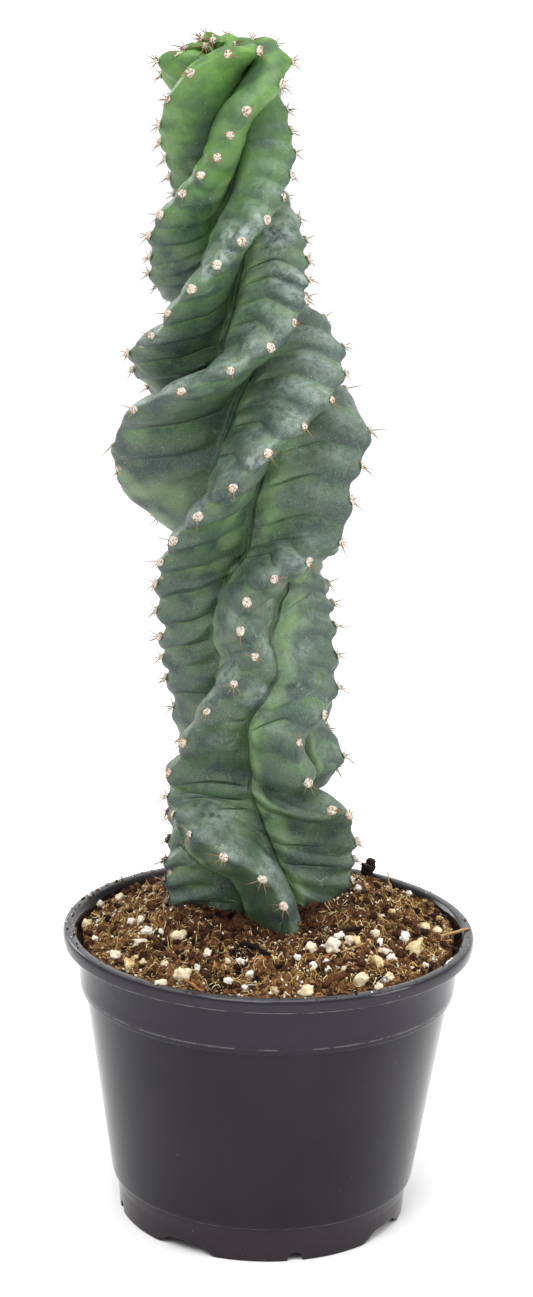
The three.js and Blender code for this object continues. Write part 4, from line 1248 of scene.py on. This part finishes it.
# [x and y in the picture, width, height, stain from 0 white to 1 tan], all but the stain in pixels.
CHIPS = [
    [119.6, 897, 7, 8, 0.5], [100, 904, 7, 5, 0.3], [143.5, 909, 6, 9, 0.7], [141, 919.5, 7, 6, 0.3],
    [164.5, 904, 6, 7, 0.6], [86.7, 924.5, 10, 5, 0.6], [132, 921, 7, 5, 0.1], [148.4, 930, 13, 7, 0.15],
    [160.7, 931.5, 6, 4, 0.1], [178.6, 935.3, 14, 7, 0.5], [142, 943.3, 12, 8, 0.3], [95, 939, 6, 5, 0.1],
    [114.7, 954.5, 10, 10, 0.35], [135, 958, 7, 6, 0.7], [143.5, 962, 6, 5, 0.5], [130, 965.8, 15, 6, 0.7],
    [164.5, 963.4, 6, 5, 0.5], [163.8, 981.2, 8, 6, 0.45], [182.8, 973.5, 15, 13, 0.5],
    [207.3, 952.7, 8, 8, 0.3], [240, 961.5, 6, 7, 0.2], [238, 967.5, 6, 5, 0.4], [250, 974.6, 8, 6, 0.05],
    [227.7, 960.8, 5, 5, 0.4], [197.5, 967.9, 6, 6, 0.2], [227.7, 980.8, 7, 4, 0.2],
    [274.7, 991, 8, 5, 0.5], [245, 988, 6, 4, 0], [357.7, 888.8, 9, 7, 0.1], [388.5, 888.2, 7, 9, 0.3],
    [377, 890.2, 5, 4, 0.2], [373, 882, 5, 5, 0.1], [408.6, 894.2, 9, 6, 0.3], [400, 898, 6, 5, 0.5],
    [381.8, 917.6, 8, 6, 0.3], [391.9, 911, 6, 5, 0.9], [404, 935.7, 11, 10, 0.05],
    [413.3, 947.8, 20, 14, 0.75], [425, 927.7, 9, 8, 0.6], [375, 933, 8, 6, 0.4],
    [379.8, 941.7, 6, 6, 0.05], [333, 943.8, 15, 13, 0.3], [323.6, 945, 9, 7, 0.05],
    [311.5, 947, 10, 9, 0.4], [339, 935.7, 9, 6, 0.05], [349, 939.7, 9, 9, 0.4], [357, 939.7, 7, 10, 0.85],
    [377, 961.2, 12, 10, 0.75], [390.5, 958.5, 9, 8, 0.05], [383.8, 951, 9, 6, 0.3],
    [361, 979.2, 12, 10, 0.5], [329, 970, 7, 7, 0.05], [313.5, 965, 7, 6, 0.1], [312.8, 970, 5, 5, 0.5],
    [297.5, 957, 6, 6, 0], [326, 961.8, 6, 5, 0.1], [306, 991, 13, 8, 0.5], [389.9, 977, 9, 5, 0.5],
    [376.5, 986, 7, 4, 0.5], [277.4, 939, 7, 5, 0.05], [345, 969.9, 7, 6, 0.5], [437.4, 931, 8, 5, 0.5],
    [425.4, 965.8, 7, 5, 0.3], [98, 889, 4, 3, 0], [107, 884, 4, 3, 0.1], [90, 896, 4, 3, 0.1],
]
PIXELS_PER_MM = 2.5
CHIP_GROWTH = 1.2
FINE_GRAINS = 1000
GRAINS_ON_RIM = 45


def perlite_material():
    """Puffed glass: chalky white to cream, pitted, with tan or brown blotches on the stained ones."""
    made, node, place = new_material("perlite")
    stain = node("Attribute", [], out="Fac", attribute_name="stain")
    pits = node("TexNoise", [place, 0, 1 / (1.0 * MM), 4, 0.7], noise_dimensions="4D")
    blotches = node("TexNoise", [place, 2, 1 / (2.2 * MM), 3, 0.55], noise_dimensions="4D")
    base = paint(
        node, "#eeeae3",
        (node("MapRange", [stain, 0.1, 0.7]), "#e3d3a2"),
        (node("MapRange", [blotches, 0.45, 0.62]), "#b98a55", node("MapRange", [stain, 0.1, 0.9, 0.1, 1])),
        (node("MapRange", [pits, 0.45, 0.3, 0, 0.5]), "#8d7a62"),
    )
    return dress(made, base, 0.9, 0.25, pits, 0.7)


chip_rng = np.random.default_rng(62)
chip_at = np.array([on_soil(x, y + 0.25 * tall) for x, y, _, tall, _ in CHIPS])
chip_wide = np.array([[wide, 0.8 * wide, tall] for _, _, wide, tall, _ in CHIPS])
chip_wide = chip_wide * CHIP_GROWTH / PIXELS_PER_MM / 2
chip_size = np.sort(chip_wide * chip_rng.uniform(0.9, 1.1, chip_wide.shape), axis=1)
chip_points, chip_faces = lumps(chip_at + [0, 0, 0.5], chip_size, 3, 0.42, 1.5, chip_rng)
perlite_chips = add_copies("perlite_chips", chip_points, chip_faces, perlite_material(),
                           {"stain": [row[4] for row in CHIPS]})
grain_size = 0.22 + 0.5 * chip_rng.random(FINE_GRAINS) ** 2
grain_stretch = grain_size[:, None] * chip_rng.uniform(0.7, 1.3, (FINE_GRAINS, 3))
grain_centre = scattered(FINE_GRAINS, chip_rng) + [0, 0, 0.35]
grain_centre[:GRAINS_ON_RIM] = on_rim(GRAINS_ON_RIM, chip_rng)
grain_stretch[:GRAINS_ON_RIM] *= 0.6
grain_points, grain_faces = lumps(grain_centre, grain_stretch, 1, 0.3, 1.5, chip_rng)
perlite_grains = add_copies("perlite_grains", grain_points, grain_faces, perlite_chips.data.materials[0],
                            {"stain": 0.6 * chip_rng.random(FINE_GRAINS) ** 2})
for piece in (perlite_chips, perlite_grains):
    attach(piece, "root")

# The fibres. Short curled strands of peat moss and fine roots, 3 to 12 mm long and a quarter of a millimetre
# thick, lie matted over the crust in all directions, most of them golden or brown.

FIBRES = 4300
FIBRE_STEPS = 7
FIBRE_SIDES = 3


def fibre_paths(count, rng):
    """Curled paths: steps of equal length whose heading is a start angle plus a random turn per step."""
    length = rng.uniform(2.5, 9, count) * rng.uniform(0.5, 1, count)
    start_angle = rng.uniform(0, 2 * np.pi, count)[:, None]
    heading = start_angle + np.cumsum(rng.normal(0, 0.42, (count, FIBRE_STEPS)), axis=1)
    step = (length / FIBRE_STEPS)[:, None]
    start = scattered(count, rng)
    x = start[:, :1] + np.cumsum(np.cos(heading) * step, axis=1)
    y = start[:, 1:2] + np.cumsum(np.sin(heading) * step, axis=1)
    inside = np.minimum(1, (SOIL_RIM - 0.8) / np.hypot(x, y))
    x, y = x * inside, y * inside
    rise = 0.3 + np.cumsum(rng.normal(0, 0.28, x.shape), axis=1)
    return np.stack([x, y, soil_on(x, y) + np.clip(rise, -0.3, 2.0)], axis=-1)


def fibre_material():
    """Dry plant fibre: each strand its own golden, brown or dark tone, with darker stretches."""
    made, node, place = new_material("peat fibre")
    own = node("ValToRGB", [node("Attribute", [], out="Fac", attribute_name="shade")], stops=[
        (0, "#000000"), (0.02, "#2b190f"), (0.2, "#6b4a29"), (0.45, "#ab864a"), (0.7, "#d6b76c"),
        (0.98, "#f4e2ad"), (1, "#ffffff"),
    ])
    stretches = node("TexNoise", [place, 0, 1 / (1.2 * MM), 2, 0.55], noise_dimensions="4D")
    base = paint(node, own, (node("MapRange", [stretches, 0.45, 0.75, 0, 0.4]), "#553821"))
    return dress(made, base, 0.8, 0.3)


fibre_rng = np.random.default_rng(63)
fibre_path = fibre_paths(FIBRES, fibre_rng)
fibre_form = np.sin(np.linspace(0.35, np.pi - 0.25, FIBRE_STEPS))
fibre_thin = fibre_rng.uniform(0.1, 0.24, FIBRES)[:, None] * fibre_form
fibre_points = tubes(fibre_path, fibre_thin, FIBRE_SIDES)
fibres = add_copies("peat_fibres", fibre_points, tube_faces(FIBRE_STEPS, FIBRE_SIDES), fibre_material(),
                    {"shade": fibre_rng.random(FIBRES)})
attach(fibres, "root")

# The bark and twigs. Slivers of bark, bits of twig and torn roots lie on the mix where the photograph shows
# them. One bark chip stands up behind the stem, and a thin twig points out over the rim on the right.

# [x and y of one end in the picture, of the other end, thickness in pixels, shade from 0 dark to 1 golden].
SLIVERS = [
    [248.7, 966.5, 266.3, 961.5, 4.5, 0.78], [183.5, 979.8, 203.8, 990.3, 4, 0.75],
    [225.6, 937.7, 270.5, 958, 5, 0.0], [147.7, 918.8, 160.3, 927.2, 2.5, 0.65],
    [183.5, 920.9, 206, 927.9, 1.6, 0.9], [172.3, 906, 184.9, 917.3, 3.5, 0.4],
    [151, 916, 166.6, 906, 1.8, 0.85], [150, 899, 166.6, 896, 4, 0.25], [355.7, 896.9, 369, 892.9, 4, 0.1],
    [339.6, 931, 363.7, 927, 4, 0.08], [428, 918.3, 444, 919, 5, 0.05], [412, 930, 428, 935.7, 7, 0.12],
    [371.8, 949, 383.8, 943.7, 3, 0.0], [339.6, 954.5, 369, 942.4, 2.2, 0.85],
    [331.6, 963.8, 362.4, 960.5, 3, 0.3], [322.2, 989.3, 355.7, 974.5, 7, 0.42],
    [440, 937, 469.5, 929, 3.5, 0.88], [393, 921.7, 409.3, 920.3, 2.2, 0.85],
    [441.4, 962.5, 448.8, 957.8, 2, 1.0], [300, 960, 322, 950, 1.5, 0.8], [258, 978, 283, 984, 1.6, 0.7],
    [104, 928, 126, 930, 1.6, 0.75], [398, 902, 384, 880, 1.8, 0.8], [455, 950, 440, 944, 3, 0.15],
]
SLIVER_STEPS = 9
SLIVER_SIDES = 8
# Bark that stands up: [x and y of its foot in the picture, lean in x and y in mm, height, radius].
UPRIGHT = [[367, 874, 1.0, 0.0, 6.5, 2.3], [362, 874, -0.5, 0.5, 4.0, 1.6], [396, 886, -3.0, 0.0, 3.5, 0.5]]
UPRIGHT_SHADE = 0.05


def sliver_paths(rows, rng):
    """Straight paths between pairs of picture places, bowed and jittered a little, resting on the soil."""
    ends = np.array([[on_soil(row[0], row[1]), on_soil(row[2], row[3])] for row in rows])
    u = np.linspace(0, 1, SLIVER_STEPS)[None, :, None]
    path = ends[:, :1] * (1 - u) + ends[:, 1:] * u
    sway = np.cumsum(rng.normal(0, 0.22, path.shape), axis=1)
    path[..., :2] += (sway - sway[:, -1:] * u)[..., :2]
    lift = np.maximum(soil_on(path[..., 0], path[..., 1]), path[..., 2]) - 0.1
    path[..., 2] = 0.5 * lift + 0.5 * lift.mean(axis=1, keepdims=True)
    return path


def bark_material():
    """Bark and dead wood: dark furrowed bark, reddish inner bark or golden straw, with a rugged grain."""
    made, node, place = new_material("bark and twigs")
    own = node("ValToRGB", [node("Attribute", [], out="Fac", attribute_name="shade")], stops=[
        (0, "#000000"), (0.02, "#1d1618"), (0.3, "#42251a"), (0.5, "#6b3f26"), (0.75, "#b07a47"),
        (0.98, "#d2b981"), (1, "#ffffff"),
    ])
    grain = node("TexNoise", [place, 0, 1 / (0.9 * MM), 4, 0.7], noise_dimensions="4D")
    base = paint(node, own, (node("MapRange", [grain, 0.4, 0.65, 0, 0.6]), "#2a1a12"))
    return dress(made, base, 0.85, 0.2, grain, 0.8)


sliver_rng = np.random.default_rng(64)
sliver_path = sliver_paths(SLIVERS, sliver_rng)
sliver_lift = np.array([row[4] for row in SLIVERS]) / PIXELS_PER_MM / 2
sliver_path[..., 2] += 0.6 * sliver_lift[:, None]
sliver_form = np.sin(np.linspace(0.5, np.pi - 0.4, SLIVER_STEPS)) ** 0.4
sliver_uneven = sliver_rng.uniform(0.75, 1.1, (len(SLIVERS), SLIVER_STEPS))
sliver_thick = sliver_lift[:, None] * sliver_form * sliver_uneven
feet = np.array([on_soil(row[0], row[1]) for row in UPRIGHT])[:, None]
standing = feet + [np.linspace([0, 0, -1.0], row[2:5], SLIVER_STEPS) for row in UPRIGHT]
standing_thick = [row[5] * sliver_form * sliver_rng.uniform(0.7, 1.2, SLIVER_STEPS) for row in UPRIGHT]
bark_paths = np.concatenate([sliver_path, standing])
bark_points = tubes(bark_paths, np.concatenate([sliver_thick, standing_thick]), SLIVER_SIDES)
bark_points += (0.3 * lattice_noise(bark_points, 0.9, 65))[..., None]
bark_shade = [row[5] for row in SLIVERS] + [UPRIGHT_SHADE] * len(UPRIGHT)
slivers = add_copies("bark_slivers", bark_points, tube_faces(SLIVER_STEPS, SLIVER_SIDES), bark_material(),
                     {"shade": bark_shade})
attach(slivers, "root")

# The floor. A plain white sheet that the pot stands on, large enough to pass for the background too.

FLOOR_HALF = 6.0


def sheet_material():
    """Matt white paper with the faintest unevenness."""
    made, node, place = new_material("matt white paper")
    clouds = node("TexNoise", [place, 0, 1 / (60 * MM), 2, 0.55], noise_dimensions="4D")
    base = paint(node, "#fbfbfb", (node("MapRange", [clouds, 0.3, 0.7]), "#ffffff"))
    return dress(made, base, 0.9, 0.2)


floor_corners = np.array([[-1, -1, 0], [1, -1, 0], [1, 1, 0], [-1, 1, 0]]) * FLOOR_HALF / MM
floor = add_mesh("floor", floor_corners, [[0, 1, 2, 3]], sheet_material())

# The light. A white studio: bright behind and at the sides, so that it edges the pot and the stem with white,
# and dimmer on the camera's side. Large soft boxes stand to the left, to the right and overhead.

BEHIND = 1.42
IN_FRONT = 0.36
OVERHEAD = 1.45

world = bpy.data.worlds.new("white studio")
bpy.context.scene.world = world
world.use_nodes = True
world_node = functools.partial(add, world.node_tree)
sky_way = world_node("TexCoord", [], out="Generated")
parts_of_way = world_node("SeparateXYZ", [sky_way]).node.outputs
level_strength = world_node("MapRange", [parts_of_way["Y"], 0.58, 0.97, IN_FRONT, BEHIND])
high_strength = world_node("MapRange", [parts_of_way["Z"], 0.35, 0.85, 0, OVERHEAD])
low_strength = world_node("MapRange", [parts_of_way["Z"], 0.16, 0.1, 0, BEHIND])
upper_strength = world_node("Math", [level_strength, high_strength], operation="MAXIMUM")
strength = world_node("Math", [upper_strength, low_strength], operation="MAXIMUM")
feed(world.node_tree.nodes["Background"], {"Strength": strength, "Color": (1, 1, 1, 1)})


def soft_box(name, position, target, size, power):
    """A square area light of that size in metres at a position, turned to face the target."""
    data = bpy.data.lights.new(name, "AREA")
    data.shape = "SQUARE"
    data.size = size
    data.energy = power
    lamp = bpy.data.objects.new(name, data)
    direction = Vector(target) - Vector(position)
    turned_to = direction.to_track_quat("-Z", "Y").to_matrix().to_4x4()
    lamp.matrix_world = Matrix.Translation(position) @ turned_to
    bpy.context.collection.objects.link(lamp)


soft_box("left_box", (-0.95, 1.05, 0.7), (0, 0, 0.25), 0.5, 4)
soft_box("right_box", (1.3, -0.45, 0.6), (0, 0, 0.25), 0.6, 8)
soft_box("front_box", (-0.35, -1.1, 1.4), (0, 0, 0.25), 0.8, 13)
soft_box("top_box", (0.0, -0.25, 1.7), (0, 0, 0.2), 1.2, 10)

bpy.context.scene.view_settings.view_transform = "Standard"
bpy.context.scene.view_settings.look = "None"
